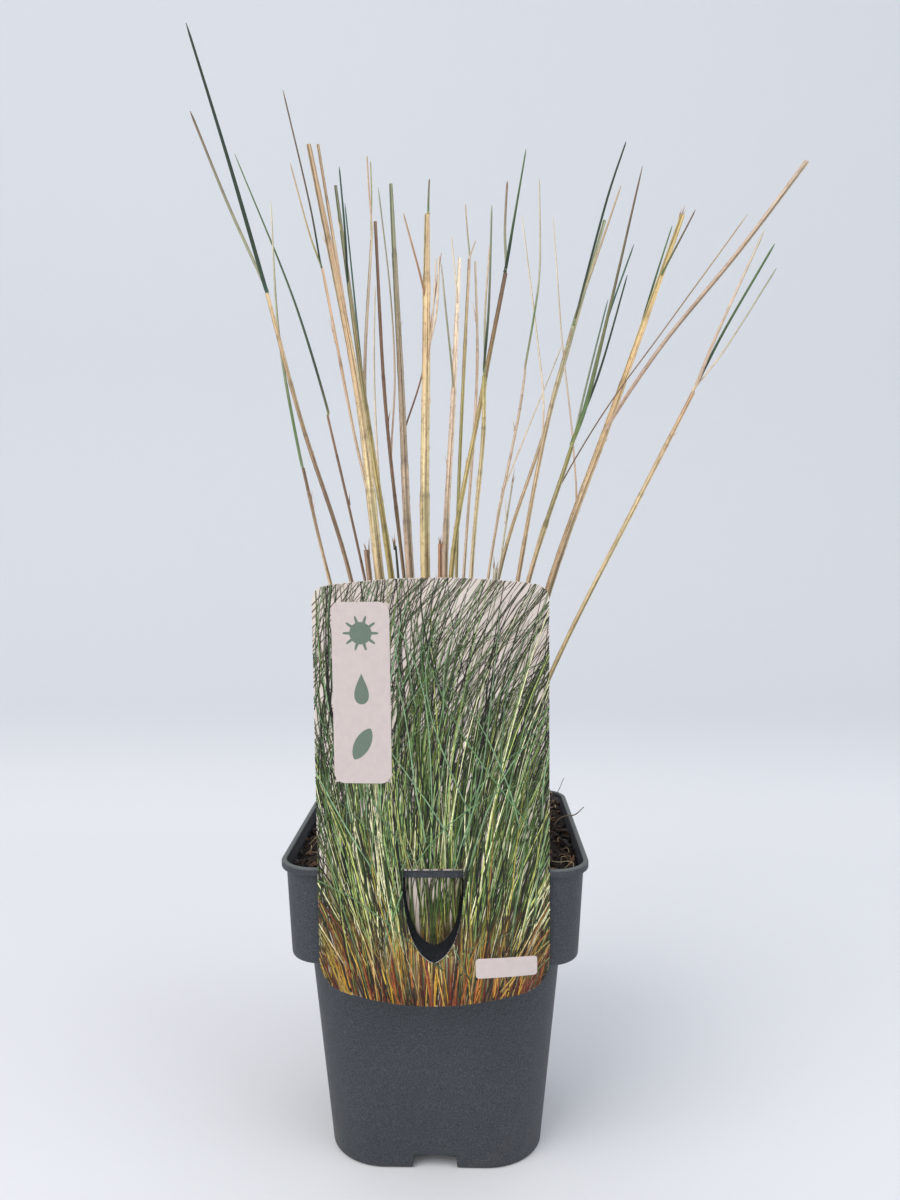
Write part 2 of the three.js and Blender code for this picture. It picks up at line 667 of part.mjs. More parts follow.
const random = randomFrom(STUB_SEED);
TILLERS.forEach((tiller, index) => {
  const name = `tiller_${String(index + 1).padStart(2, "0")}`;
  let stem = stemSolid(tiller);
  const fused = [...(tiller.green ? [] : tiller.blades), ...(tiller.branches ?? [])];
  for (const blade of fused) {
    stem = stem.add(bladeSolid(tiller, blade, false));
  }
  if (isOutside(tiller)) {
    stem = stem.add(stubSolid(tiller, random));
  }
  plant.add(part(name, stem, STRAW_FINISH));
  if (tiller.green) {
    const blades = tiller.blades.map((blade) => bladeSolid(tiller, blade, true));
    const crown = blades.reduce((whole, blade) => whole.add(blade));
    plant.add(part(`${name}_blades`, crown, GREEN_FINISH));
  }
});

plant.add(part("compost", compost, COMPOST_FINISH));

export default plant;
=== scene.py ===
# The looks of a potted European beachgrass: a grained slate pot, coarse compost, a printed card
# label and separate grass tillers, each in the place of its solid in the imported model.

import math

import bpy
import numpy as np
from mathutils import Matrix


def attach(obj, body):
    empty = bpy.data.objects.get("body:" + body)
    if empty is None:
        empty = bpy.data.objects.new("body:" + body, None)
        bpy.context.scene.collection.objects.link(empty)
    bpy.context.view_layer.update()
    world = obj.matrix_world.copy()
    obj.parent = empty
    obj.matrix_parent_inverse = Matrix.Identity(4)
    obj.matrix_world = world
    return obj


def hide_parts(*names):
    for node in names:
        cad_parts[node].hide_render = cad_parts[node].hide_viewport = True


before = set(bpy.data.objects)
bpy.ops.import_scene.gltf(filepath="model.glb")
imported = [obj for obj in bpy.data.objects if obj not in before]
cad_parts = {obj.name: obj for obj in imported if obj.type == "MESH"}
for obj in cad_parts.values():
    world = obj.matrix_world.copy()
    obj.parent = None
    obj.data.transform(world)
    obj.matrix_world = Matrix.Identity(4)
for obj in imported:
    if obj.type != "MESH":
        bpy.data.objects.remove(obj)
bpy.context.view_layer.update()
BODY = "root"

# Lengths below are in millimetres, and turned to metres when a mesh is made
MM = 0.001

# The pot
POT_HEIGHT = 155.0
RIM_SIDE = 145.0
LIP_HEIGHT = 3.8
LIP_WIDTH = 2.5
COLLAR_TOP_SIDE = 140.5
COLLAR_FOOT_SIDE = 136.4
COLLAR_FOOT_Z = 108.0
BODY_TOP_SIDE = 121.4
BASE_SIDE = 105.8
WALL = 1.3
FLOOR_Z = 9.2
CHANNEL_WIDTH = 21.0
CHANNEL_HEIGHT = 7.6
CHANNEL_LENGTH = 25.0
DRAIN_WIDTH = 5.0
DRAIN_LENGTH = 14.0
DRAIN_ROUND = 2.4
SLOT_WIDTH = 34.0
SLOT_BACK_Y = -62.5
BAR_THICKNESS = 1.6

# The compost
COMPOST_EDGE_Z = 148.0
COMPOST_MOUND = 3.5
COMPOST_RELIEF = 1.1
COMPOST_SIDE = 137.0
COMPOST_CORNER = 14.0
WALL_REACH = 0.6
BED_INSET = 3.4
HOLE_DEPTH = 12.0

# The label
LABEL_WIDTH = 105.6
LABEL_TOP_Z = 288.5
LABEL_FOOT_Z = 94.3
LABEL_THICKNESS = 0.6
LABEL_ARCH = 3.0
LABEL_TOP_RADIUS = 8.0
LABEL_FOOT_RADIUS = 17.0
LABEL_HANG_Z = 155.5
LABEL_HANG_Y = -76.2
LABEL_TILT = -0.0095
LABEL_FOOT_OUT = 3.4
LABEL_HEAD_OUT = 4.0
LABEL_BOW = 2.3
LABEL_FOOT_BOW = 6.6
LABEL_HEAD_BOW = 1.2
TONGUE_WIDTH = 26.0
TONGUE_LENGTH = 42.5
OPENING_LENGTH = 42.0
TONGUE_CUT = 0.8
TONGUE_LEAN = 0.6
FOLD_RADIUS = 0.6
TONGUE_Y = -RIM_SIDE / 2 + BAR_THICKNESS + 0.3
TONGUE_DROP = TONGUE_LENGTH - (TONGUE_Y - LABEL_HANG_Y - 0.2)

# Stems and blades
STEM_FULLNESS = 0.7
BLADE_ROOT = 9.0
BLADE_LEAVE = 2.5
BLADE_TIP_RADIUS = 0.36
TAPER_FROM = 0.55
GAP = 0.3
STEM_SIDES = 18
BLADE_SIDES = 14
BLADE_ROWS = 70

# Waves along a stem, a fibre or a stroke start at a random phase of up to a whole turn
PHASE = 6.3


def srgb(red, green, blue):
    """A display colour of 0 to 255 as the linear colour that a shader takes."""
    share = np.array([red, green, blue]) / 255
    linear = np.where(share < 0.04045, share / 12.92, ((share + 0.055) / 1.055) ** 2.4)
    return tuple(float(value) for value in linear)


# Colours of the grass
STRAW = srgb(208, 186, 150)
TAN = srgb(190, 163, 136)
PINK = srgb(206, 182, 166)
BROWN = srgb(126, 101, 86)
RUST = srgb(160, 116, 90)
OLIVE = srgb(158, 152, 100)
GOLD = srgb(196, 175, 122)
PALE = srgb(220, 208, 192)
GREY_GREEN = srgb(146, 153, 128)
MID_GREEN = srgb(94, 124, 80)
DARK_GREEN = srgb(38, 58, 42)
TEAL = srgb(66, 100, 88)

# Each tiller: its foot on the compost, the points that its stem leans through, its radius at the
# foot and top, its colours from foot to top, the blades at its end or from a height on it, and
# whether the end blades are a green piece of their own.
TILLERS = [
    dict(foot=(-21, 8), stem=[(-60, 20, 282), (-75, 26, 344)], radius=(0.95, 0.85),
         look=(TAN, TAN, BROWN), green=True, blades=[
             dict(via=[(-88, 32, 413)], tip=(-98, 62, 500), radius=0.8, look=(GREY_GREEN, MID_GREEN, PALE))]),
    dict(foot=(-22, -8), stem=[(-43, -23, 285), (-65, -31, 361), (-80, -38, 422)], radius=(1.1, 0.9),
         look=(TAN, BROWN, STRAW), green=True, blades=[
             dict(via=[(-93, -49, 473)], tip=(-110, -62, 534), radius=0.95, end=0.5,
                  look=(TEAL, DARK_GREEN, DARK_GREEN)),
             dict(via=[(-99, -30, 464)], tip=(-120, -20, 514), radius=0.75, end=0.55,
                  look=(TAN, GREY_GREEN, BROWN))]),
    dict(foot=(-16, 15), stem=[(-43, 43, 284), (-66, 62, 377)], radius=(0.8, 0.7),
         look=(TAN, BROWN, BROWN), green=True, blades=[
             dict(via=[(-88, 79, 445)], tip=(-129, 104, 542), radius=0.75,
                  look=(OLIVE, DARK_GREEN, MID_GREEN))]),
    dict(foot=(-15, 2), stem=[(-34, 8, 310), (-46, 11, 365), (-62, 14, 448)], radius=(0.85, 0.7),
         look=(PINK, PINK, TAN), green=True, blades=[
             dict(via=[(-66, 10, 475)], tip=(-79, 2, 534), radius=0.5, look=(DARK_GREEN, DARK_GREEN, BROWN)),
             dict(via=[(-68, 19, 465)], tip=(-81, 32, 509), radius=0.5, look=(GREY_GREEN, OLIVE, TAN))]),
    dict(foot=(-16, -9), stem=[(-29, -18, 287), (-38, -24, 372), (-61, -32, 493)], radius=(2.9, 1.1),
         look=(TAN, STRAW, TAN), blades=[]),
    dict(foot=(-10, 9), stem=[(-37, 22, 310), (-45, 29, 382), (-68, 44, 523)], radius=(1, 0.8),
         look=(PINK, PINK, TAN), blades=[]),
    dict(foot=(-9, -3), stem=[(-24, -7, 286), (-37, -9, 374), (-51, -12, 481)], radius=(1.9, 0.75),
         look=(OLIVE, GOLD, GREY_GREEN), blades=[
             dict(at=430, via=[(-45, -21, 455)], tip=(-46, -34, 482), radius=0.6,
                  look=(TEAL, DARK_GREEN, TEAL)),
             dict(at=368, via=[(-41, -2, 407)], tip=(-49, 10, 480), radius=0.55,
                  look=(MID_GREEN, TEAL, TEAL)),
             dict(at=322, via=[(-34, 12, 372), (-36, 27, 408)], tip=(-37, 44, 446), radius=0.5,
                  look=(PINK, PALE, PALE))]),
    dict(foot=(-8, 17), stem=[(-33, 30, 285), (-43, 44, 384), (-40, 58, 484)], radius=(1.1, 0.8),
         look=(PINK, BROWN, PALE), blades=[
             dict(via=[(-41, 55, 502)], tip=(-42, 51, 520), radius=0.5, look=(PALE, PINK, TAN)),
             dict(via=[(-40, 64, 502)], tip=(-41, 70, 524), radius=0.5, look=(PALE, GREY_GREEN, OLIVE))]),
    dict(foot=(-3, 3), stem=[(-18, 0, 286), (-27, -2, 373), (-32, -4, 466)], radius=(1, 0.8),
         look=(TAN, BROWN, BROWN), blades=[
             dict(at=345, via=[(-23, 3, 388), (-25, 8, 430)], tip=(-32, 16, 490), radius=0.55,
                  look=(BROWN, PINK, GREY_GREEN))]),
    dict(foot=(-3, 11), stem=[(-16, 15, 286), (-21, 17, 393), (-26, 20, 493)], radius=(2.7, 0.9),
         look=(BROWN, PINK, GREY_GREEN), blades=[
             dict(at=358, via=[(-10, 25, 394)], tip=(0, 44, 464), radius=0.5, look=(BROWN, BROWN, RUST))]),
    dict(foot=(1, -8), stem=[(-6, -16, 287), (-5, -23, 403), (-4, -26, 462)], radius=(2.9, 1.2),
         look=(GOLD, STRAW, STRAW), green=True, blades=[
             dict(via=[], tip=(-3, -26, 479), radius=0.6, look=(OLIVE, MID_GREEN, BROWN))],
         branches=[
             dict(at=418, via=[], tip=(-15, -44, 457), radius=0.6, look=(STRAW, RUST, TAN)),
             dict(at=391, via=[(0, -25, 415), (1.3, -25, 433)], tip=(1.6, -25, 443), radius=0.6,
                  look=(PINK, PALE, PALE)),
             dict(at=384, via=[(-2.2, -29, 408)], tip=(0, -31, 440), radius=0.45, look=(BROWN, TAN, PALE))]),
    dict(foot=(6, 1), stem=[(3, 2, 286), (8, 3, 383), (11, 4, 450)], radius=(2, 0.8),
         look=(TAN, PINK, PALE), blades=[
             dict(at=378, via=[(4, -9, 422)], tip=(2, -16, 442), radius=0.5, look=(TAN, GREY_GREEN, PALE)),
             dict(at=420, via=[], tip=(6, 22, 466), radius=0.5, look=(PALE, PALE, PALE))]),
    dict(foot=(10, 9), stem=[(9, 22, 285), (14, 41, 422), (16, 46, 461)], radius=(1, 0.85),
         look=(PINK, OLIVE, PINK), blades=[
             dict(via=[(15, 50, 476)], tip=(14, 54, 494), radius=0.5, look=(TAN, GREY_GREEN, TAN)),
             dict(via=[], tip=(19, 38, 469), radius=0.5, look=(TAN, PALE, PALE))]),
    dict(foot=(6, 18), stem=[(13, 41, 285), (20, 61, 401), (19, 72, 467)], radius=(0.95, 0.65),
         look=(TAN, PINK, PALE), blades=[]),
    dict(foot=(9, -14), stem=[(7, -22, 287), (21, -26, 371), (33, -30, 433)], radius=(1.25, 1),
         look=(OLIVE, GOLD, BROWN), green=True, blades=[
             dict(via=[(33, -27, 453)], tip=(34, -22, 479), radius=0.65, end=0.5,
                  look=(OLIVE, GREY_GREEN, BROWN)),
             dict(via=[(36, -36, 451)], tip=(42, -48, 484), radius=0.75,
                  look=(DARK_GREEN, DARK_GREEN, MID_GREEN))]),
    dict(foot=(14, -4), stem=[(17, -35, 287), (23, -51, 357), (23, -56, 380)], radius=(1.05, 0.9),
         look=(PINK, STRAW, OLIVE), green=True, blades=[
             dict(via=[(23, -51, 408)], tip=(25, -44, 442), radius=0.5, look=(MID_GREEN, GREY_GREEN, PINK)),
             dict(via=[(25, -65, 406)], tip=(26, -80, 448), radius=0.6,
                  look=(OLIVE, DARK_GREEN, GREY_GREEN))]),
    dict(foot=(17, 5), stem=[(26, 8, 286), (42, 10, 373), (45, 10, 393)], radius=(0.8, 0.65),
         look=(STRAW, PINK, PALE), green=True, blades=[
             dict(via=[(50, 12, 422), (53, 13, 445)], tip=(53, 16, 494), radius=0.55,
                  look=(PINK, MID_GREEN, PALE))],
         branches=[dict(at=325, via=[(44, 19, 356)], tip=(67, 40, 412), radius=0.5,
                        look=(STRAW, PALE, PALE))]),
    dict(foot=(22, -3), stem=[(41, -12, 286), (56, -17, 369), (67, -20, 410)], radius=(1.1, 1.05),
         look=(TAN, TAN, GREY_GREEN), green=True, blades=[
             dict(via=[(82, -33, 470)], tip=(89, -38, 491), radius=0.6, look=(OLIVE, DARK_GREEN, DARK_GREEN)),
             dict(via=[(76, -14, 436)], tip=(92, -4, 483), radius=0.75, look=(MID_GREEN, GREY_GREEN, TAN))],
         branches=[dict(at=350, via=[(54, -8, 374), (52, 16, 412)], tip=(46, 62, 490), radius=0.5,
                        look=(PINK, PALE, PALE))]),
    dict(foot=(15, 14), stem=[(32, 30, 285), (58, 41, 367), (92, 56, 485)], radius=(1.1, 0.9),
         look=(OLIVE, TAN, GREY_GREEN), blades=[]),
    dict(foot=(19, -13), stem=[(45, -34, 286), (64, -44, 349)], radius=(1.35, 1),
         look=(BROWN, TAN, OLIVE), green=True, blades=[
             dict(via=[(69, -48, 364), (78, -57, 404)], tip=(91, -72, 467), radius=1,
                  look=(OLIVE, MID_GREEN, BROWN)),
             dict(via=[(70, -45, 366), (79.4, -52, 405)], tip=(91.3, -52, 439.7), radius=0.55,
                  look=(MID_GREEN, TEAL, TEAL)),
             dict(via=[(70, -38, 372)], tip=(83, -26, 421), radius=0.6, look=(TEAL, GREY_GREEN, TEAL)),
             dict(via=[(76, -44, 380)], tip=(90, -40, 429), radius=0.6,
                  look=(MID_GREEN, DARK_GREEN, DARK_GREEN))],
         branches=[dict(at=322, via=[(79, -34, 363), (111, -23, 407)], tip=(155, -8, 467), radius=0.36,
                        look=(DARK_GREEN, BROWN, TAN))]),
    dict(foot=(25, 6), stem=[(58, 8, 279), (91, 10, 372), (126, 12, 473)], radius=(2.3, 1.2),
         torn=True, look=(BROWN, TAN, GOLD), blades=[
             dict(at=404, via=[(113, 20, 438)], tip=(126, 34, 475), radius=0.65,
                  look=(MID_GREEN, DARK_GREEN, MID_GREEN)),
             dict(at=438, via=[], tip=(129, -6, 470), radius=0.6, look=(GREY_GREEN, MID_GREEN, BROWN)),
             dict(at=360, via=[(107, -32, 396), (132, -78, 429)], tip=(148, -112, 453), radius=0.95, end=1,
                  look=(PINK, PINK, PINK)),
             dict(at=320, via=[(72, 21, 357), (68, 42, 412)], tip=(65, 74, 493), radius=0.45,
                  look=(GOLD, PINK, PALE))]),
    dict(foot=(27, -9), stem=[(55, -30, 236), (95, -53, 326), (116, -64, 371)], radius=(1.2, 0.9),
         look=(OLIVE, STRAW, TAN), green=True, blades=[
             dict(via=[(126, -72, 394)], tip=(145, -84, 430), radius=0.6, end=0.45,
                  look=(MID_GREEN, DARK_GREEN, MID_GREEN)),
             dict(via=[(129, -60, 388)], tip=(156, -50, 429), radius=0.5,
                  look=(GREY_GREEN, PALE, GREY_GREEN)),
             dict(via=[(122, -77, 391)], tip=(135, -102, 430), radius=0.75, end=0.45,
                  look=(STRAW, PINK, PALE))]),
]

# Short dead shoots and broken sheaths
SHORT_SHOOTS = [
    dict(foot=(-19, -20), top=(-35, -20, 300), radius=(1.6, 1.4), look=(TAN, TAN, BROWN)),
    dict(foot=(-9, -17), top=(-21, -24, 302), radius=(1.2, 0.5), look=(BROWN, BROWN, DARK_GREEN)),
    dict(foot=(2, -21), top=(2, -26, 303), radius=(1.4, 1), look=(TAN, TAN, RUST)),
    dict(foot=(20, -24), top=(29, -31, 291), radius=(1.3, 1.1), look=(TAN, PINK, PALE)),
    dict(foot=(9, -22), top=(37, -27, 333), radius=(0.8, 0.4), look=(BROWN, PALE, PALE)),
]

# Cut stubs of old sheaths round the outside of the tuft
TUFT_MIDDLE = (3, 3)
STUB_REACH = 19
STUB_HEIGHTS = (22, 46)
STUB_RADII = (1.1, 1.7)
STUB_LEAN = 0.55
STUB_SEED = 11

# The camera, as fitted to the pot's edges in the photograph: its place in metres, its turns in degrees
CAMERA_PLACE = (0.01677, -0.50402, 0.3054)
CAMERA_DOWN = 3.613
CAMERA_TURN = 1.219
CAMERA_LENS = 29.0
SENSOR = 36.0


# Making meshes


def grid_quads(rows, columns, wrap=True):
    """Corner numbers of the quads of a grid, row by row. The last column joins the first if it wraps."""
    across = columns if wrap else columns - 1
    row, column = np.meshgrid(np.arange(rows - 1), np.arange(across), indexing="ij")
    beside = (column + 1) % columns
    quads = np.stack([
        row * columns + column,
        row * columns + beside,
        (row + 1) * columns + beside,
        (row + 1) * columns + column,
    ], axis=-1)
    return quads.reshape(-1, 4)


def stack_faces(rows, columns):
    """The quads of a stack of rings, and a face over its first and over its last ring."""
    ends = [list(range(columns))[::-1], list(range((rows - 1) * columns, rows * columns))]
    return grid_quads(rows, columns).tolist() + ends


def make_piece(name, points, faces, material, uv=None, tint=None, smooth=True):
    """A mesh object at the origin from points in millimetres, with a UV map or a tint if given."""
    mesh = bpy.data.meshes.new(name)
    mesh.from_pydata((np.asarray(points) * MM).tolist(), [], [list(face) for face in faces])
    if uv is not None:
        layer = mesh.uv_layers.new(name="UVMap")
        layer.data.foreach_set("uv", np.asarray(uv, np.float32).ravel())
    if tint is not None:
        colours = np.c_[np.asarray(tint), np.ones(len(tint))].astype(np.float32)
        layer = mesh.color_attributes.new(name="tint", type="FLOAT_COLOR", domain="POINT")
        layer.data.foreach_set("color", colours.ravel())
    mesh.polygons.foreach_set("use_smooth", [smooth] * len(mesh.polygons))
    mesh.materials.append(material)
    mesh.validate()
    piece = bpy.data.objects.new(name, mesh)
    bpy.context.scene.collection.objects.link(piece)
    return piece


def finish_piece(piece, slot, *nodes):
    """The piece rides on the one body and stands for its solids. Its slot is not used."""
    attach(piece, BODY)
    if nodes:
        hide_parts(*nodes)


def cut(piece, cutter, operation="DIFFERENCE"):
    """An exact Boolean of the piece with the cutter, which is then removed."""
    modifier = piece.modifiers.new("cut", "BOOLEAN")
    modifier.operation = operation
    modifier.solver = "EXACT"
    modifier.object = cutter
    graph = bpy.context.evaluated_depsgraph_get()
    mesh = bpy.data.meshes.new_from_object(piece.evaluated_get(graph))
    piece.modifiers.clear()
    old = piece.data
    piece.data = mesh
    bpy.data.meshes.remove(old)
    bpy.data.objects.remove(cutter)


def shade_by_angle(piece, degrees):
    """Smooth shading, with edges sharper than the angle kept crisp."""
    polygons = piece.data.polygons
    polygons.foreach_set("use_smooth", [True] * len(polygons))
    piece.data.set_sharp_from_angle(angle=math.radians(degrees))


def read_points(piece):
    """The piece's points, in millimetres."""
    flat = np.empty(3 * len(piece.data.vertices), np.float32)
    piece.data.vertices.foreach_get("co", flat)
    return flat.reshape(-1, 3).astype(float) / MM


def write_points(piece, points):
    """Gives the piece new points, in millimetres."""
    piece.data.vertices.foreach_set("co", (points * MM).astype(np.float32).ravel())
    piece.data.update()


# Materials


def new_material(name):
    """A material and helpers that add and join its nodes."""
    material = bpy.data.materials.new(name)
    material.use_nodes = True
    tree = material.node_tree
    shader = tree.nodes["Principled BSDF"]

    def add(kind, **values):
        """A new node, with its settings and the values of its sockets."""
        node = tree.nodes.new(kind)
        for key, value in values.items():
            if key in node.bl_rna.properties:
                setattr(node, key, value)
            else:
                node.inputs[key.replace("_", " ")].default_value = value
        return node

    return material, tree, shader, add


def noise(tree, add, vector, scale, detail, roughness, stretch=(1, 1, 1), move=(0, 0, 0)):
    """A noise value on a stretched and moved copy of the coordinates."""
    mapping = add("ShaderNodeMapping")
    mapping.inputs["Location"].default_value = move
    mapping.inputs["Scale"].default_value = stretch
    tree.links.new(vector, mapping.inputs["Vector"])
    texture = add("ShaderNodeTexNoise", Scale=scale, Detail=detail, Roughness=roughness)
    tree.links.new(mapping.outputs[0], texture.inputs["Vector"])
    return texture.outputs["Fac"]


def ramp(tree, add, value, stops):
    """A colour or a grey that runs through the stops, each a place and a colour."""
    node = add("ShaderNodeValToRGB")
    while len(node.color_ramp.elements) < len(stops):
        node.color_ramp.elements.new(0.5)
    for element, (place, colour) in zip(node.color_ramp.elements, stops):
        element.position = place
        element.color = (*colour, 1)
    tree.links.new(value, node.inputs["Fac"])
    return node.outputs["Color"]


def mix(tree, add, factor, first, second, blend="MIX"):
    """Two colours mixed by a factor. Each may be a socket or a plain colour."""
    node = add("ShaderNodeMix", data_type="RGBA", blend_type=blend)
    for value, socket in ((factor, node.inputs[0]), (first, node.inputs[6]), (second, node.inputs[7])):
        if isinstance(value, bpy.types.NodeSocket):
            tree.links.new(value, socket)
        elif isinstance(value, (int, float)):
            socket.default_value = value
        else:
            socket.default_value = (*value, 1)
    return node.outputs[2]


def bump(tree, add, shader, height, strength, distance):
    """Adds small relief from a grey value, in metres of distance."""
    node = add("ShaderNodeBump", Strength=strength, Distance=distance)
    tree.links.new(height, node.inputs["Height"])
    tree.links.new(node.outputs["Normal"], shader.inputs["Normal"])


WHITE = (1.0, 1.0, 1.0)
BLACK = (0.0, 0.0, 0.0)


def pot_material():
    """Dark slate plastic with a sandy grain, a painted highlight that makes the lip's top paler, and a little
    dirt near its foot.
    """
    material, tree, shader, add = new_material("slate_plastic")
    place = add("ShaderNodeTexCoord").outputs["Object"]
    speckle = noise(tree, add, place, 1400, 3, 0.7)
    patches = noise(tree, add, place, 28, 5, 0.6)
    grains = [(0.34, srgb(37, 41, 47)), (0.5, srgb(52, 57, 63)), (0.68, srgb(72, 77, 84))]
    base = ramp(tree, add, speckle, grains)
    wide = ramp(tree, add, patches, [(0.35, (0.86, 0.87, 0.88)), (0.65, (1.06, 1.05, 1.04))])
    body = mix(tree, add, 1.0, base, wide, "MULTIPLY")
    split = add("ShaderNodeSeparateXYZ")
    tree.links.new(place, split.inputs[0])
    # Painted highlight: the top face of the lip is painted paler, where light falls on it
    lip = add("ShaderNodeMapRange", From_Min=0.1541, From_Max=0.1549, To_Min=0.0, To_Max=0.6)
    tree.links.new(split.outputs["Z"], lip.inputs["Value"])
    painted_lip_highlight = mix(tree, add, lip.outputs[0], body, srgb(110, 116, 114))
    smear = noise(tree, add, place, 22, 6, 0.7, move=(0.4, 0.1, 0.3))
    low = add("ShaderNodeMapRange", From_Min=0.0, From_Max=0.035, To_Min=1.0, To_Max=0.0)
    tree.links.new(split.outputs["Z"], low.inputs["Value"])
    dirt = ramp(tree, add, smear, [(0.55, BLACK), (0.75, (0.5, 0.5, 0.5))])
    both = mix(tree, add, 1.0, dirt, low.outputs[0], "MULTIPLY")
    dusty = mix(tree, add, both, painted_lip_highlight, srgb(96, 80, 66))
    tree.links.new(dusty, shader.inputs["Base Color"])
    gloss = ramp(tree, add, patches, [(0.3, (0.5, 0.5, 0.5)), (0.7, (0.62, 0.62, 0.62))])
    tree.links.new(gloss, shader.inputs["Roughness"])
    bump(tree, add, shader, speckle, 0.5, 0.0002)
    return material


def compost_material():
    """Dark crumbs and bark: each lump's own tint, with finer grain over it."""
    material, tree, shader, add = new_material("peat_and_bark")
    place = add("ShaderNodeTexCoord").outputs["Object"]
    tint = add("ShaderNodeAttribute", attribute_name="tint").outputs["Color"]
    grain = noise(tree, add, place, 900, 5, 0.7)
    shade = ramp(tree, add, grain, [(0.3, (0.5, 0.5, 0.5)), (0.7, (1.35, 1.3, 1.25))])
    colour = mix(tree, add, 1.0, tint, shade, "MULTIPLY")
    tree.links.new(colour, shader.inputs["Base Color"])
    shader.inputs["Roughness"].default_value = 0.92
    bump(tree, add, shader, grain, 0.8, 0.0006)
    return material


def grass_material(name, roughness):
    """A stem or blade: its own tint, long fibres of two warmths, streaks and faint flecks."""
    material, tree, shader, add = new_material(name)
    place = add("ShaderNodeUVMap", uv_map="UVMap").outputs["UV"]
    tint = add("ShaderNodeAttribute", attribute_name="tint").outputs["Color"]
    fibre = noise(tree, add, place, 1.0, 3, 0.6, stretch=(9, 5, 1), move=(9, 2, 0))
    streak = noise(tree, add, place, 1.0, 4, 0.6, stretch=(26, 24, 1))
    fleck = noise(tree, add, place, 1.0, 4, 0.7, stretch=(6, 300, 1), move=(3, 7, 1))
    hue = noise(tree, add, place, 1.0, 2, 0.5, stretch=(3, 9, 1), move=(5, 1, 4))
    long = ramp(tree, add, fibre, [(0.36, (0.5, 0.47, 0.42)), (0.48, WHITE), (0.64, (1.3, 1.3, 1.3))])
    lines = ramp(tree, add, streak, [(0.34, (0.5, 0.46, 0.42)), (0.48, WHITE), (0.66, (1.3, 1.3, 1.3))])
    spots = ramp(tree, add, fleck, [(0.38, (0.5, 0.46, 0.42)), (0.47, WHITE), (0.66, (1.1, 1.1, 1.1))])
    warmth = ramp(tree, add, hue, [(0.38, (1.06, 0.97, 0.88)), (0.62, (0.95, 1.03, 0.94))])
    warmed = mix(tree, add, 1.0, tint, warmth, "MULTIPLY")
    first = mix(tree, add, 1.0, warmed, long, "MULTIPLY")
    second = mix(tree, add, 1.0, first, lines, "MULTIPLY")
    both = mix(tree, add, 0.55, second, spots, "MULTIPLY")
    tree.links.new(both, shader.inputs["Base Color"])
    shader.inputs["Roughness"].default_value = roughness
    bump(tree, add, shader, streak, 0.5, 0.0003)
    return material


def calculate(tree, add, operation, *values, clamp=False):
    """One step of arithmetic on sockets or plain numbers."""
    node = add("ShaderNodeMath", operation=operation, use_clamp=clamp)
    for socket, value in zip(node.inputs, values):
        if isinstance(value, bpy.types.NodeSocket):
            tree.links.new(value, socket)
        else:
            socket.default_value = value
    return node.outputs[0]


def fade(tree, add, value, low, high):
    """A smooth step from 0 at low to 1 at high."""
    node = add("ShaderNodeMapRange", interpolation_type="SMOOTHSTEP")
    node.inputs["From Min"].default_value = low
    node.inputs["From Max"].default_value = high
    tree.links.new(value, node.inputs["Value"])
    return node.outputs[0]


# The soft under-print, from the back of the picture to its front: how far its strokes bend to the
# right with height, how they fan out, their width and length in millimetres, their two colours, the
# share that is drawn, and the heights above the card's foot, in millimetres, that they fill
UNDERPRINT = [
    (1.2, 1.2, 3.0, 70, srgb(96, 98, 66), srgb(158, 152, 118), 0.34, -20, 150),
    (0.2, 1.5, 2.4, 60, srgb(50, 34, 20), srgb(100, 72, 40), 0.8, -40, 66),
    (2.8, 0.5, 0.7, 70, srgb(46, 48, 26), srgb(98, 92, 60), 0.34, 20, 235),
    (1.1, 1.2, 0.9, 60, srgb(40, 46, 22), srgb(84, 96, 50), 0.50, -10, 140),
    (0.4, 1.3, 0.9, 50, srgb(40, 30, 18), srgb(150, 106, 60), 0.50, -40, 70),
]

# The card's foot, in metres, as the shader reads it
PRINT_FOOT_Z = 0.094


def print_strokes(tree, add, x, height, colour, layer, number):
    """One layer of slender strokes: stretched cells that bend aside with the square of the height."""
    bend, fan, width, length, dark, light, share, low, high = layer
    square = calculate(tree, add, "MULTIPLY", height, height)
    aside = calculate(tree, add, "MULTIPLY", square, bend)
    near = calculate(tree, add, "SUBTRACT", x, aside)
    spread = calculate(tree, add, "MULTIPLY_ADD", height, fan, 1.0)
    across = calculate(tree, add, "DIVIDE", near, spread)
    place = add("ShaderNodeCombineXYZ")
    column = calculate(tree, add, "MULTIPLY_ADD", across, 1000 / width, 50 + number * 31.7)
    row = calculate(tree, add, "MULTIPLY_ADD", height, 1000 / length, 9 + number * 5.3)
    tree.links.new(column, place.inputs[0])
    tree.links.new(row, place.inputs[1])
    cells = add("ShaderNodeTexVoronoi", voronoi_dimensions="2D", Scale=1.0)
    tree.links.new(place.outputs[0], cells.inputs["Vector"])
    pick = add("ShaderNodeSeparateColor")
    tree.links.new(cells.outputs["Color"], pick.inputs[0])
    drawn = calculate(tree, add, "LESS_THAN", pick.outputs[0], share)
    rise = fade(tree, add, height, low / 1000, low / 1000 + 0.03)
    fall = fade(tree, add, height, high / 1000, high / 1000 - 0.035)
    window = calculate(tree, add, "MULTIPLY", rise, fall)
    reach = calculate(tree, add, "MULTIPLY_ADD", window, 0.5, 0.001)
    ratio = calculate(tree, add, "DIVIDE", cells.outputs["Distance"], reach)
    inside = fade(tree, add, ratio, 1.0, 0.8)
    factor = calculate(tree, add, "MULTIPLY", inside, drawn)
    paint = ramp(tree, add, pick.outputs[1], [(0.1, dark), (0.9, light)])
    return mix(tree, add, factor, colour, paint)


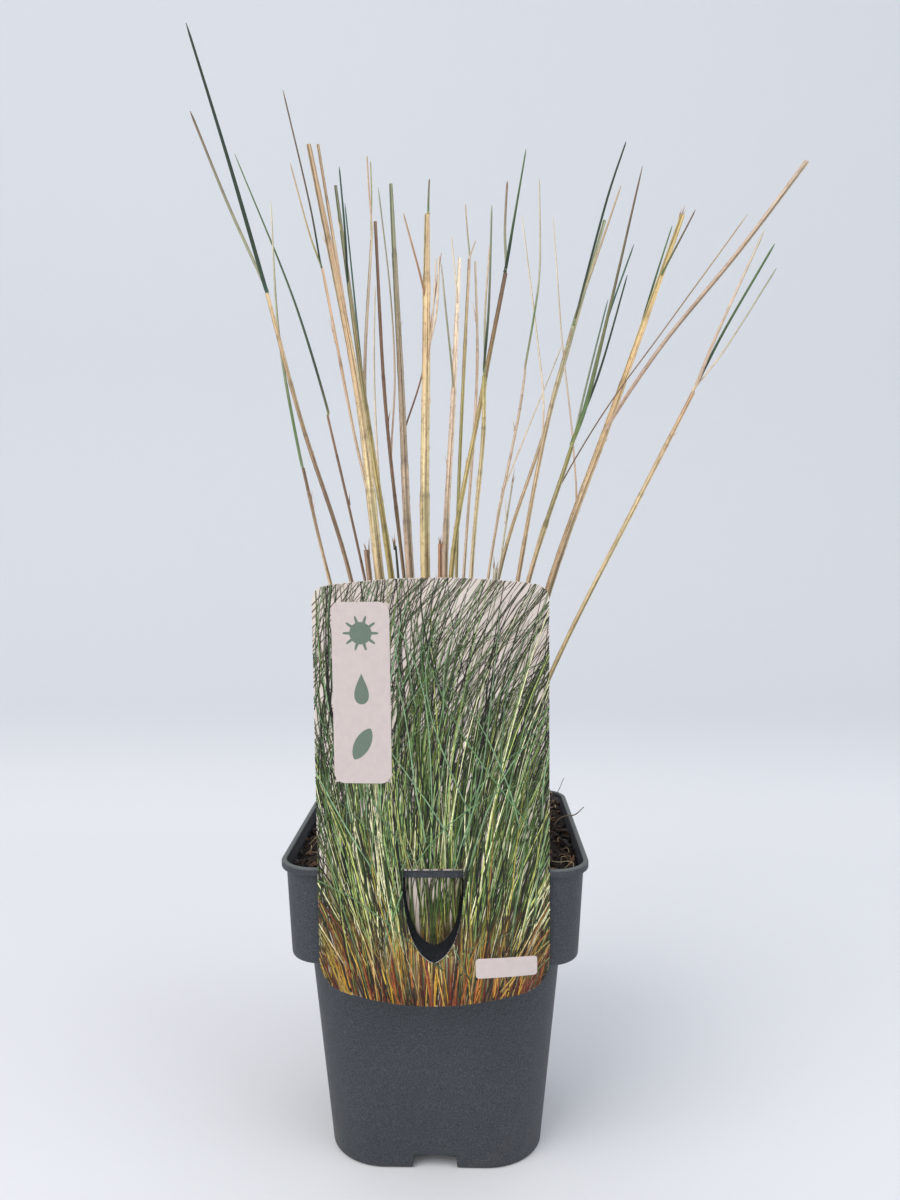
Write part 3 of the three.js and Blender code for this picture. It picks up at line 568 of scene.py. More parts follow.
def label_material():
    """A blush card with the soft under-print of grass, darker and browner towards its foot."""
    material, tree, shader, add = new_material("printed_card")
    place = add("ShaderNodeTexCoord").outputs["Object"]
    split = add("ShaderNodeSeparateXYZ")
    tree.links.new(place, split.inputs[0])
    height = calculate(tree, add, "SUBTRACT", split.outputs["Z"], PRINT_FOOT_Z)
    sway = noise(tree, add, place, 11, 1, 0.5)
    x = calculate(tree, add, "MULTIPLY_ADD", sway, 0.03, split.outputs["X"])
    cloud = noise(tree, add, place, 30, 4, 0.6)
    ground = ramp(tree, add, cloud, [(0.3, srgb(196, 182, 172)), (0.6, srgb(220, 207, 199))])
    earth = ramp(tree, add, cloud, [(0.35, srgb(86, 66, 48)), (0.6, srgb(182, 164, 144))])
    colour = mix(tree, add, fade(tree, add, height, 0.07, 0.015), ground, earth)
    for number, layer in enumerate(UNDERPRINT):
        colour = print_strokes(tree, add, x, height, colour, layer, number)
    facing = add("ShaderNodeNewGeometry")
    normal = add("ShaderNodeSeparateXYZ")
    tree.links.new(facing.outputs["Normal"], normal.inputs[0])
    front = fade(tree, add, normal.outputs["Y"], -0.4, -0.55)
    printed = mix(tree, add, front, srgb(222, 217, 210), colour)
    tree.links.new(printed, shader.inputs["Base Color"])
    shader.inputs["Roughness"].default_value = 0.45
    fibre = noise(tree, add, place, 2200, 2, 0.5)
    bump(tree, add, shader, fibre, 0.08, 0.0001)
    return material


def ink_material():
    """Printed strokes, each with its own tint, a little uneven along their length."""
    material, tree, shader, add = new_material("printed_strokes")
    place = add("ShaderNodeTexCoord").outputs["Object"]
    tint = add("ShaderNodeAttribute", attribute_name="tint").outputs["Color"]
    uneven = noise(tree, add, place, 420, 3, 0.6)
    tone = ramp(tree, add, uneven, [(0.35, (0.72, 0.72, 0.72)), (0.65, (1.22, 1.22, 1.22))])
    tree.links.new(mix(tree, add, 1.0, tint, tone, "MULTIPLY"), shader.inputs["Base Color"])
    shader.inputs["Roughness"].default_value = 0.45
    return material


def plain_material(name, colour, roughness):
    """Printed or plain card of one colour, with a faint paper mottle."""
    material, tree, shader, add = new_material(name)
    place = add("ShaderNodeTexCoord").outputs["Object"]
    mottle = noise(tree, add, place, 300, 4, 0.6)
    dim = tuple(value * 0.93 for value in colour)
    tree.links.new(ramp(tree, add, mottle, [(0.35, dim), (0.65, colour)]), shader.inputs["Base Color"])
    shader.inputs["Roughness"].default_value = roughness
    return material


# The pot


# Steps in the arc of a corner, and along a side, of the pot's and the bed's rings
ARC_STEPS = 18
SIDE_STEPS = 10


def square_ring(side, corner):
    """Points round squares with round corners: arcs at the corners, and even steps along the sides."""
    side = np.atleast_1d(side)[:, None]
    corner = np.atleast_1d(corner)[:, None]
    arc = np.arange(ARC_STEPS + 1) / ARC_STEPS
    straight = np.arange(1, SIDE_STEPS) / SIDE_STEPS
    quarter = np.repeat(np.arange(4), len(arc) + len(straight))
    within = np.tile(np.concatenate([arc, np.ones(len(straight))]), 4)
    angle = (quarter + within) * math.pi / 2
    blend = np.tile(np.concatenate([np.zeros(len(arc)), straight]), 4)

    def spot(turn):
        """Each point as it lies on the arc of the given corner."""
        middle = (turn + 0.5) * math.pi / 2
        x = np.sign(np.cos(middle)) * (side / 2 - corner) + corner * np.cos(angle)
        y = np.sign(np.sin(middle)) * (side / 2 - corner) + corner * np.sin(angle)
        return np.stack([x, y], axis=-1)

    share = blend[None, :, None]
    return spot(quarter) * (1 - share) + spot(quarter + (blend > 0)) * share


def round_edge(z, side, corner, radius, start, end, steps=6):
    """Rows of (z, side, corner) round an edge: an arc about a centre at that height and side."""
    turn = np.radians(np.linspace(start, end, steps))
    rise = radius * np.sin(turn)
    reach = 2 * radius * np.cos(turn)
    return [(z + a, side + b, corner + b / 2) for a, b in zip(rise, reach)]


def straight_rows(low, high, count):
    """Even rows between two, without the ends."""
    share = np.linspace(0, 1, count + 2)[1:-1, None]
    rows = np.array(low) * (1 - share) + np.array(high) * share
    return [tuple(row) for row in rows]


def pot_profile():
    """Rows of (z, side, corner radius) up the outside, over the lip and down the inside."""
    lip_z = POT_HEIGHT - LIP_HEIGHT
    foot = (3.0, BASE_SIDE + 0.3, 28.5)
    low = (28.0, BASE_SIDE + 4.2, 27.0)
    middle = (62.0, BASE_SIDE + 9.2, 24.0)
    under = (COLLAR_FOOT_Z - 2.2, BODY_TOP_SIDE, 20.0)
    collar_foot = (COLLAR_FOOT_Z + 2.0, COLLAR_FOOT_SIDE, 15.0)
    collar_top = (lip_z - 0.8, COLLAR_TOP_SIDE, 16.0)
    inner_lip = RIM_SIDE - 2 * LIP_WIDTH
    inner_top = (lip_z - 0.4, COLLAR_TOP_SIDE - 2 * WALL, 14.8)
    inner_foot = (COLLAR_FOOT_Z + 3, COLLAR_FOOT_SIDE - 2 * WALL, 14.0)
    inner_shoulder = (COLLAR_FOOT_Z + 1, BODY_TOP_SIDE - 2 * WALL, 19.0)
    inner_middle = (60, BASE_SIDE + 9 - 2 * WALL, 23.0)
    rows = []
    rows += round_edge(1.6, BASE_SIDE - 2.9, 27.0, 1.5, -90, 0)
    rows += straight_rows(foot, low, 7)
    rows += [low]
    rows += straight_rows(low, middle, 7)
    rows += [middle]
    rows += straight_rows(middle, under, 8)
    rows += round_edge(COLLAR_FOOT_Z - 1.8, BODY_TOP_SIDE + 3.6, 21.5, 1.8, 180, 90, 5)
    rows += round_edge(COLLAR_FOOT_Z + 2.0, COLLAR_FOOT_SIDE - 4.0, 13.2, 2.0, -90, 0, 7)
    rows += straight_rows(collar_foot, collar_top, 8)
    rows += round_edge(lip_z - 0.7, COLLAR_TOP_SIDE + 1.4, 16.7, 0.7, 180, 90, 4)
    rows += round_edge(lip_z + 0.9, RIM_SIDE - 1.8, 16.6, 0.9, -90, 0, 5)
    rows += round_edge(POT_HEIGHT - 0.9, RIM_SIDE - 1.8, 16.6, 0.9, 0, 90, 6)
    rows += round_edge(POT_HEIGHT - 0.7, inner_lip + 1.4, 15.7, 0.7, 90, 180, 5)
    rows += [(lip_z + 1.2, inner_lip, 15.0), inner_top]
    rows += straight_rows(inner_top, inner_foot, 4)
    rows += [inner_foot, inner_shoulder]
    rows += straight_rows(inner_shoulder, inner_middle, 3)
    rows += [inner_middle, (FLOOR_Z + 2, BASE_SIDE + 1.5 - 2 * WALL, 26.0)]
    rows += [(FLOOR_Z, BASE_SIDE - 4 - 2 * WALL, 24.0)]
    return np.array(rows)


def prism(profile, axis, low, high):
    """A closed prism: a flat outline carried along x, y or z from low to high."""
    profile = np.asarray(profile, float)
    count = len(profile)
    ends = []
    for level in (low, high):
        flat = np.full(count, float(level))
        columns = {"x": (flat, profile[:, 0], profile[:, 1]),
                   "y": (profile[:, 0], flat, profile[:, 1]),
                   "z": (profile[:, 0], profile[:, 1], flat)}[axis]
        ends.append(np.stack(columns, axis=-1))
    points = np.vstack(ends)
    piece = make_piece("cutter", points, stack_faces(2, count), CUTTER_FINISH)
    mesh = piece.data
    mesh.update()
    volume = sum(mesh.vertices[face.vertices[0]].co.dot(face.normal) * face.area for face in mesh.polygons)
    if volume < 0:
        mesh.flip_normals()
    return piece


def rounded_box(low_u, high_u, low_v, high_v, radius, steps=5):
    """The outline of a rectangle with round corners, counter-clockwise."""
    quarter = np.repeat(np.arange(4), steps + 1)
    angle = (quarter + np.tile(np.arange(steps + 1) / steps, 4)) * math.pi / 2
    middle_u = np.array([high_u - radius, low_u + radius, low_u + radius, high_u - radius])[quarter]
    middle_v = np.array([high_v - radius, high_v - radius, low_v + radius, low_v + radius])[quarter]
    return np.c_[middle_u + radius * np.cos(angle), middle_v + radius * np.sin(angle)]


def channel_outline():
    """The notch in the pot's foot: an upright arch with round shoulders and flared lower corners."""
    half = CHANNEL_WIDTH / 2
    shoulder = 1.2
    flare = 2.2
    arc = np.radians(np.linspace(0, 90, 5))
    shoulder_x = half - shoulder + shoulder * np.cos(arc)
    shoulder_z = CHANNEL_HEIGHT - shoulder + shoulder * np.sin(arc)
    flare_x = half + flare - flare * np.sin(arc)
    flare_z = flare - flare * np.cos(arc)
    right = np.vstack([[[half + flare, -3]], np.c_[flare_x, flare_z], np.c_[shoulder_x, shoulder_z]])
    left = right[::-1] * (-1, 1)
    return np.vstack([right, left])


def build_pot(material):
    """The moulded shell from its profile, then its channels, drain slots and label slot cut out."""
    rows = pot_profile()
    ring = square_ring(rows[:, 1], rows[:, 2])
    height = np.repeat(rows[:, :1], ring.shape[1], axis=1)[..., None]
    points = np.concatenate([ring, height], axis=-1)
    pot = make_piece("nursery_pot", points.reshape(-1, 3), stack_faces(*points.shape[:2]), material)
    reach = BASE_SIDE / 2
    inner = reach - CHANNEL_LENGTH
    for axis in ("y", "x"):
        for low, high in ((-reach - 8, -inner), (inner, reach + 8)):
            cut(pot, prism(channel_outline(), axis, low, high))
    near = inner + 2
    far = near + DRAIN_LENGTH
    half = DRAIN_WIDTH / 2
    drains = [
        (-half, half, -far, -near), (-half, half, near, far),
        (-far, -near, -half, half), (near, far, -half, half),
    ]
    for drain in drains:
        cut(pot, prism(rounded_box(*drain, DRAIN_ROUND), "z", 2, 12))
    return pot


def add_label_slot(pot):
    """The recess in the front collar: its wall is set back to the body's face, under the lip's bar."""
    wide = SLOT_WIDTH / 2
    bar = -RIM_SIDE / 2 + BAR_THICKNESS
    lip_z = POT_HEIGHT - LIP_HEIGHT
    tray = prism(rounded_box(-wide - WALL, wide + WALL, bar - 1.2, SLOT_BACK_Y + WALL, 1.5), "z",
                 COLLAR_FOOT_Z - 1.5, POT_HEIGHT - 1.2)
    cut(pot, tray, "UNION")
    cut(pot, prism(rounded_box(-wide, wide, bar, SLOT_BACK_Y, 1.2), "z", COLLAR_FOOT_Z - 4, POT_HEIGHT + 5))
    cut(pot, prism(rounded_box(-wide, wide, -RIM_SIDE / 2 - 4, bar + 2, 1.2), "z", COLLAR_FOOT_Z - 4, lip_z))
    shade_by_angle(pot, 35)
    return pot


# The compost


def compost_top(x, y):
    """A low mound, higher at the back right, with small lumps."""
    edge = np.maximum(np.abs(x), np.abs(y)) / (RIM_SIDE / 2)
    mound = COMPOST_MOUND * (1 - edge * edge)
    tilt = 0.012 * x + 0.014 * y
    lumps = np.sin(0.31 * x + 1.3) * np.cos(0.27 * y) + 0.6 * np.sin(0.53 * y - 0.41 * x)
    return COMPOST_EDGE_Z + mound + tilt + COMPOST_RELIEF * lumps


def crumble(x, y, random):
    """Fine relief: ridged waves in random directions, each octave half as long and as high."""
    total = np.zeros_like(x)
    size = 1.0
    wave = 0.45
    for _ in range(5):
        for _ in range(3):
            turn = random.uniform(0, math.pi)
            shift = random.uniform(0, 2 * math.pi)
            along = x * math.cos(turn) + y * math.sin(turn)
            total += size * (np.abs(np.sin(wave * along + shift + 0.8 * np.sin(0.3 * along))) - 0.6) / 3
        size *= 0.6
        wave *= 1.9
    return total


def compost_bed(material, random):
    """The filled bed: a coarse wall below, and rings that close in over the lumpy top."""
    rings = 70
    share = np.linspace(1, 0.01, rings)
    side = COMPOST_SIDE * share
    corner = COMPOST_CORNER * share
    top = square_ring(side, corner)
    z = compost_top(top[..., 0], top[..., 1]) + 0.9 * crumble(top[..., 0], top[..., 1], random)
    cover = np.concatenate([top, z[..., None]], axis=-1)
    wall_rows = np.array([
        (FLOOR_Z + 0.5, BASE_SIDE - 8, 23), (60, BASE_SIDE + 9 - BED_INSET, 22),
        (COLLAR_FOOT_Z + 1, BODY_TOP_SIDE - BED_INSET, 18),
        (COLLAR_FOOT_Z + 3.4, COLLAR_FOOT_SIDE - BED_INSET, 13),
    ])
    wall = square_ring(wall_rows[:, 1], wall_rows[:, 2])
    level = np.repeat(wall_rows[:, :1], wall.shape[1], axis=1)[..., None]
    points = np.concatenate([np.concatenate([wall, level], axis=-1), cover])
    flat = points.reshape(-1, 3)
    shade = 0.7 + 0.5 * random.random(len(flat))
    tint = np.array(srgb(36, 28, 24))[None] * shade[:, None]
    bed = make_piece("compost_bed", flat, stack_faces(*points.shape[:2]), material, tint=tint)
    wide = SLOT_WIDTH / 2 + WALL + 0.3
    cut(bed, prism(rounded_box(-wide, wide, -80, SLOT_BACK_Y + WALL + 0.3, 1), "z", COLLAR_FOOT_Z - 6, 170))
    return bed


def lump_shapes(count, size_low, size_high, flatness, random):
    """Many small faceted lumps: three rings and two poles of a ball, stretched, flattened and roughened."""
    rows, columns = 3, 7
    lift = np.linspace(-math.pi / 4, math.pi / 4, rows)
    turn = 2 * math.pi * np.arange(columns) / columns
    rings = np.stack([
        np.cos(lift)[:, None] * np.cos(turn), np.cos(lift)[:, None] * np.sin(turn),
        np.repeat(np.sin(lift)[:, None], columns, axis=1),
    ], axis=-1).reshape(-1, 3)
    ball = np.vstack([rings, [(0, 0, -1), (0, 0, 1)]])
    length = random.uniform(size_low, size_high, count)
    width = length * random.uniform(0.35, 0.8, count)
    thick = length * random.uniform(flatness * 0.6, flatness * 1.4, count)
    sizes = np.stack([length, width, thick], axis=-1) / 2
    rough = 1 + 0.28 * random.standard_normal((count, len(ball), 1))
    points = ball[None] * sizes[:, None] * rough
    first = np.arange(columns)
    beside = np.roll(first, -1)
    last = (rows - 1) * columns
    low_pole, high_pole = len(rings), len(rings) + 1
    below = np.stack([beside, first, np.full(columns, low_pole)], axis=-1)
    above = np.stack([first + last, beside + last, np.full(columns, high_pole)], axis=-1)
    return points, [grid_quads(rows, columns), below, above]


def turned(points, random, tip):
    """Each lump turned at random about the upright, and tipped by up to the given angle."""
    count = len(points)
    spin = random.uniform(0, 2 * math.pi, count)
    lean = random.uniform(-tip, tip, count)
    roll = random.uniform(-tip, tip, count)
    cs, sn = np.cos(spin), np.sin(spin)
    cl, sl = np.cos(lean), np.sin(lean)
    cr, sr = np.cos(roll), np.sin(roll)
    x, y, z = points[..., 0], points[..., 1], points[..., 2]
    x, z = x * cl[:, None] + z * sl[:, None], -x * sl[:, None] + z * cl[:, None]
    y, z = y * cr[:, None] - z * sr[:, None], y * sr[:, None] + z * cr[:, None]
    x, y = x * cs[:, None] - y * sn[:, None], x * sn[:, None] + y * cs[:, None]
    return np.stack([x, y, z], axis=-1)


def past_corner(points, side):
    """How far each point lies outside the smaller square that joins the middles of the round corners."""
    over = np.maximum(np.abs(points[..., :2]) - (side / 2 - COMPOST_CORNER), 0)
    return np.hypot(over[..., 0], over[..., 1])


def scatter(count, random):
    """Random places on the compost, inside the rounded square and clear of the label slot."""
    side = COMPOST_SIDE - 0.5
    places = random.uniform(-side / 2, side / 2, (count * 2, 2))
    keep = past_corner(places, side) < COMPOST_CORNER
    keep &= ~((places[:, 1] < SLOT_BACK_Y + 3) & (np.abs(places[:, 0]) < SLOT_WIDTH / 2 + 2.5))
    return places[keep][:count]


def compost_lumps(name, count, low, high, flatness, tip, rise, shades, material, seed):
    """A scatter of lumps that lie on the bed, all in one piece, each with its own tint."""
    random = np.random.default_rng(seed)
    places = scatter(count, random)
    points, kinds = lump_shapes(len(places), low, high, flatness, random)
    points = turned(points, random, tip)
    z = compost_top(places[:, 0], places[:, 1]) + random.uniform(rise[0], rise[1], len(places))
    points = points + np.c_[places, z][:, None]
    inside = (past_corner(points, COMPOST_SIDE) < COMPOST_CORNER + WALL_REACH).all(axis=1)
    places, points = places[inside], points[inside]
    per = points.shape[1]
    start = per * np.arange(len(places))[:, None, None]
    faces = [face for kind in kinds for face in (kind[None] + start).reshape(-1, kind.shape[1]).tolist()]
    pick = random.integers(0, len(shades), len(places))
    tint = np.array(shades)[pick] * random.uniform(0.65, 1.3, (len(places), 1))
    tint = np.repeat(tint[:, None], per, axis=1).reshape(-1, 3)
    return make_piece(name, points.reshape(-1, 3), faces, material, tint=tint, smooth=False)


# Stems, blades and roots


def smooth_path(points, count):
    """A centripetal Catmull-Rom curve through the points, at count even parameters."""
    spots = np.asarray(points, float)
    extended = np.vstack([2 * spots[0] - spots[1], spots, 2 * spots[-1] - spots[-2]])
    place = np.linspace(0, len(spots) - 1, count)
    left = np.minimum(place.astype(int), len(spots) - 2)
    share = (place - left)[:, None]
    p0, p1, p2, p3 = (extended[left + step] for step in range(4))
    d0 = np.linalg.norm(p1 - p0, axis=1)[:, None] ** 0.5
    d1 = np.linalg.norm(p2 - p1, axis=1)[:, None] ** 0.5
    d2 = np.linalg.norm(p3 - p2, axis=1)[:, None] ** 0.5
    m1 = ((p1 - p0) / d0 - (p2 - p0) / (d0 + d1) + (p2 - p1) / d1) * d1
    m2 = ((p2 - p1) / d1 - (p3 - p1) / (d1 + d2) + (p3 - p2) / d2) * d1
    cubic = 2 * p1 - 2 * p2 + m1 + m2
    square = -3 * p1 + 3 * p2 - 2 * m1 - m2
    return p1 + m1 * share + square * share ** 2 + cubic * share ** 3


def wander(path, reach, random):
    """The path with a slight uneven sway that starts from nothing at its foot."""
    along = np.linspace(0, 1, len(path))
    sway = np.zeros_like(path)
    for wave in (3.1, 7.7):
        for axis in (0, 1):
            sway[:, axis] += np.sin(wave * along + random.uniform(0, PHASE)) * reach / wave * 2
    return path + (sway - sway[0]) * np.minimum(1, along * 4)[:, None]


def tube(path, radius, tint):
    """A closed tube: round each point of the path lies a ring, as wide at each angle as radius says."""
    rows, sides = radius.shape
    ahead = np.gradient(path, axis=0)
    ahead /= np.linalg.norm(ahead, axis=1)[:, None]
    across = np.cross([0.0, 1.0, 0.0], ahead)
    across /= np.linalg.norm(across, axis=1)[:, None]
    out = np.cross(ahead, across)
    angle = 2 * math.pi * np.arange(sides) / sides - math.pi / 2
    ring = np.cos(angle)[None, :, None] * across[:, None] + np.sin(angle)[None, :, None] * out[:, None]
    points = path[:, None] + radius[..., None] * ring
    steps = np.linalg.norm(np.diff(path, axis=0), axis=1)
    length = np.concatenate([[0], np.cumsum(steps)]) * MM
    quads = grid_quads(rows, sides)
    column = np.tile(np.arange(sides), rows - 1)
    row = np.repeat(np.arange(rows - 1), sides)
    u = np.stack([column, column + 1, column + 1, column], axis=-1) / sides
    v = np.stack([length[row], length[row], length[row + 1], length[row + 1]], axis=-1)
    caps = np.stack([np.arange(sides)[::-1], np.arange((rows - 1) * sides, rows * sides)])
    cap_uv = np.array([(step / sides, end) for end in (length[0], length[-1]) for step in range(sides)])
    colours = np.repeat(tint[:, None], sides, axis=1).reshape(-1, 3)
    return dict(points=points.reshape(-1, 3), quads=quads, caps=caps,
                uv=np.vstack([np.stack([u, v], axis=-1).reshape(-1, 2), cap_uv]), tint=colours)


def join_parts(name, parts, material):
    """Several tubes as one piece."""
    points, faces, start = [], [], 0
    for part in parts:
        points.append(part["points"])
        faces += (part["quads"] + start).tolist() + (part["caps"] + start).tolist()
        start += len(part["points"])
    uv = np.vstack([part["uv"] for part in parts])
    tint = np.vstack([part["tint"] for part in parts])
    return make_piece(name, np.vstack(points), faces, material, uv=uv, tint=tint)


def blend_colours(look, along, random, patchy):
    """Foot, middle and top colours run into each other, with lighter and darker patches."""
    foot, middle, top = (np.array(colour) for colour in look)
    lower = np.clip(along * 2, 0, 1)[:, None]
    upper = np.clip(along * 2 - 1, 0, 1)[:, None]
    colour = (foot * (1 - lower) + middle * lower) * (1 - upper) + top * upper
    tone = np.zeros(len(along))
    for wave in (9, 23, 51, 97):
        tone += np.sin(wave * along + random.uniform(0, PHASE)) / 4
    return colour * (1 + patchy * tone)[:, None]


def stem_points(tiller):
    """From the bottom of its hole, through the compost's top, to the stem's end."""
    x, y = tiller["foot"]
    foot = np.array([x, y, float(compost_top(np.float64(x), np.float64(y)))])
    down = foot - np.array(tiller["stem"][0], float)
    down *= HOLE_DEPTH / np.linalg.norm(down)
    return np.vstack([foot + down, tiller["stem"]])


def stem_part(points, radii, look, random, rows=130):
    """A sheathed stem: it thins upwards, each dry sheath flares to a ragged end, and a seam runs up it."""
    path = wander(smooth_path(points, rows), 0.35, random)
    along = np.linspace(0, 1, rows)
    foot, top = radii
    width = top + (foot - top) * (1 - along) ** STEM_FULLNESS
    angle = 2 * math.pi * np.arange(STEM_SIDES) / STEM_SIDES
    ends = np.sort(random.uniform(0.38, 0.95, 3))
    tint = blend_colours(look, along, random, 0.16)
    for end in ends:
        before = np.clip(1 - (end - along) / 0.16, 0, 1) * (along < end)
        width = width * (1 + 0.1 * before ** 2)
        shade = random.uniform(0.82, 1.18)
        tint = tint * np.where(along < end, 1, shade)[:, None]
        tint = tint * (1 - 0.35 * np.exp(-((along - end) / 0.006) ** 2))[:, None]
    seam = random.uniform(0, PHASE) + 1.2 * along
    away = np.angle(np.exp(1j * (angle[None] - seam[:, None])))
    relief = 1 - 0.13 * np.exp(-(away / 0.3) ** 2) + 0.025 * np.cos(6 * angle)[None]
    relief = relief + 0.02 * random.standard_normal((rows, 1))
    return tube(path, width[:, None] * relief, tint)


def flake_parts(stem, radii, look, random, count):
    """Thin torn strips of dry sheath that stand off a stem: narrow tubes that taper and curl away."""
    parts = []
    path = smooth_path(stem, 60)
    for _ in range(count):
        place = int(random.uniform(20, 56))
        turn = random.uniform(0, 2 * math.pi)
        out = np.array([math.cos(turn), math.sin(turn), 0.0])
        ahead = path[place + 2] - path[place]
        ahead /= np.linalg.norm(ahead)
        length = random.uniform(5, 13)
        share = np.linspace(0, 1, 10)[:, None]
        width = radii[0] + (radii[1] - radii[0]) * place / 60
        strip = path[place] + out * width * 0.6 + ahead * length * share + out * 2.2 * share ** 2
        thin = np.linspace(0.5, 0.12, 10)[:, None] * np.ones((1, 6))
        tint = blend_colours((look[1], look[1], PALE), share[:, 0], random, 0.1)
        parts.append(tube(strip, thin, tint))
    return parts


def torn_parts(stem, radius, look, random, count=5):
    """Short ragged strips that stand up out of a broken stem end."""
    parts = []
    ahead = stem[-1] - stem[-2]
    ahead = ahead / np.linalg.norm(ahead)
    for _ in range(count):
        turn = random.uniform(0, 2 * math.pi)
        out = np.array([math.cos(turn), math.sin(turn), 0.0])
        share = np.linspace(0, 1, 8)[:, None]
        length = random.uniform(3, 9)
        strip = stem[-1] + out * radius * 0.6 + ahead * (length * share - 2) + out * 0.9 * share ** 2
        thin = np.linspace(0.42, 0.12, 8)[:, None] * np.ones((1, 6))
        parts.append(tube(strip, thin, blend_colours((look[2], BROWN, PINK), share[:, 0], random, 0.1)))
    return parts


def blade_part(tiller, blade, apart, random):
    """A rolled blade: it tapers to a fine tip, with the slit of the roll along one side."""
    trunk = stem_points(tiller)
    fine = smooth_path(trunk, 4000)
    height = blade.get("at")
    place = int(np.searchsorted(fine[:, 2], height)) if height else len(fine) - 1
    spot = fine[place]
    ahead = fine[place] - fine[place - 1]
    ahead /= np.linalg.norm(ahead)
    start = spot + ahead * (GAP if apart else -BLADE_ROOT)
    second = spot + ahead * (BLADE_LEAVE if apart else 1)
    points = np.vstack([start, second, *blade["via"], blade["tip"]])
    path = wander(smooth_path(points, BLADE_ROWS), 0.3, random)
    along = np.linspace(0, 1, BLADE_ROWS)
    stem_end = tiller["radius"][1] * 0.95 if apart else blade["radius"]
    foot = stem_end + (blade["radius"] - stem_end) * np.minimum(1, along * 7)
    tip_radius = blade.get("end", BLADE_TIP_RADIUS)
    width = foot + (tip_radius - foot) * np.clip((along - TAPER_FROM) / (1 - TAPER_FROM), 0, 1)
    width = width * (1 if tip_radius > 0.9 else np.clip((1 - along) / 0.02, 0.3, 1))
    angle = 2 * math.pi * np.arange(BLADE_SIDES) / BLADE_SIDES
    slit = random.uniform(0, PHASE) + 0.8 * along
    away = np.angle(np.exp(1j * (angle[None] - slit[:, None])))
    relief = 1 - 0.34 * np.exp(-(away / 0.42) ** 2) + 0.03 * np.cos(5 * angle)[None]
    tint = blend_colours(blade["look"], along, random, 0.14)
    return tube(path, width[:, None] * relief, tint)


def park_miller(seed):
    """The same small generator as the model's: a multiply and a remainder."""
    state = seed
    while True:
        state = (state * 16807) % 2147483647
        yield state / 2147483647


def stub_part(tiller, draw, random):
    """A cut sheath stub that grows from the tiller's foot and leans away from the tuft."""
    x, y = tiller["foot"]
    away = np.array([x - TUFT_MIDDLE[0], y - TUFT_MIDDLE[1]], float)
    away /= np.linalg.norm(away)
    height = STUB_HEIGHTS[0] + (STUB_HEIGHTS[1] - STUB_HEIGHTS[0]) * next(draw)
    radius = STUB_RADII[0] + (STUB_RADII[1] - STUB_RADII[0]) * next(draw)
    side = (next(draw) - 0.5) * 0.8
    lean = np.array([away[0] - side * away[1], away[1] + side * away[0], 0])
    foot = np.array([x, y, float(compost_top(np.float64(x), np.float64(y))) + 1.5])
    spots = [foot + lean * height * STUB_LEAN * t * (0.7 + 0.5 * t) + np.array([0, 0, height * t])
             for t in (0, 0.5, 1)]
    rows = 26
    along = np.linspace(0, 1, rows)
    width = radius * (1 - 0.35 * along)
    relief = 1 + 0.05 * random.standard_normal((rows, 12))
    tint = blend_colours((BROWN, TAN, PALE), along, random, 0.15)
    return tube(smooth_path(spots, rows), width[:, None] * relief, tint)


def is_outside(tiller):
    """Whether a tiller stands at the outside of the tuft."""
    x, y = tiller["foot"]
    return math.hypot(x - TUFT_MIDDLE[0], y - TUFT_MIDDLE[1]) > STUB_REACH


def build_grass(straw, green):
    """Every tiller, its green blades, and the short dead shoots."""
    draw = park_miller(STUB_SEED)
    for number, tiller in enumerate(TILLERS, 1):
        random = np.random.default_rng(100 + number)
        apart = tiller.get("green", False)
        stem = stem_points(tiller)
        parts = [stem_part(stem, tiller["radius"], tiller["look"], random)]
        fused = ([] if apart else tiller["blades"]) + tiller.get("branches", [])
        parts += [blade_part(tiller, blade, False, random) for blade in fused]
        flakes = 1 + int(tiller["radius"][0] * 1.5)
        parts += flake_parts(stem, tiller["radius"], tiller["look"], random, flakes)
        if is_outside(tiller):
            parts.append(stub_part(tiller, draw, random))
        if tiller.get("torn"):
            parts += torn_parts(stem, tiller["radius"][1], tiller["look"], random)
        piece = join_parts(f"sheathed_stem_{number:02d}", parts, straw)
        finish_piece(piece, "straw_stem", f"tiller_{number:02d}")
        if apart:
            leaves = [blade_part(tiller, blade, True, random) for blade in tiller["blades"]]
            piece = join_parts(f"rolled_blades_{number:02d}", leaves, green)
            finish_piece(piece, "green_blade", f"tiller_{number:02d}_blades")
    for number, shoot in enumerate(SHORT_SHOOTS, 1):
        random = np.random.default_rng(300 + number)
        tiller = dict(foot=shoot["foot"], stem=[shoot["top"]])
        stem = stem_points(tiller)
        parts = [stem_part(stem, shoot["radius"], shoot["look"], random, rows=60)]
        parts += flake_parts(stem, shoot["radius"], shoot["look"], random, 3)
        parts += torn_parts(stem, shoot["radius"][1], shoot["look"], random, 4)
        finish_piece(join_parts(f"dead_shoot_{number}", parts, straw), "straw_stem", f"short_shoot_{number}")


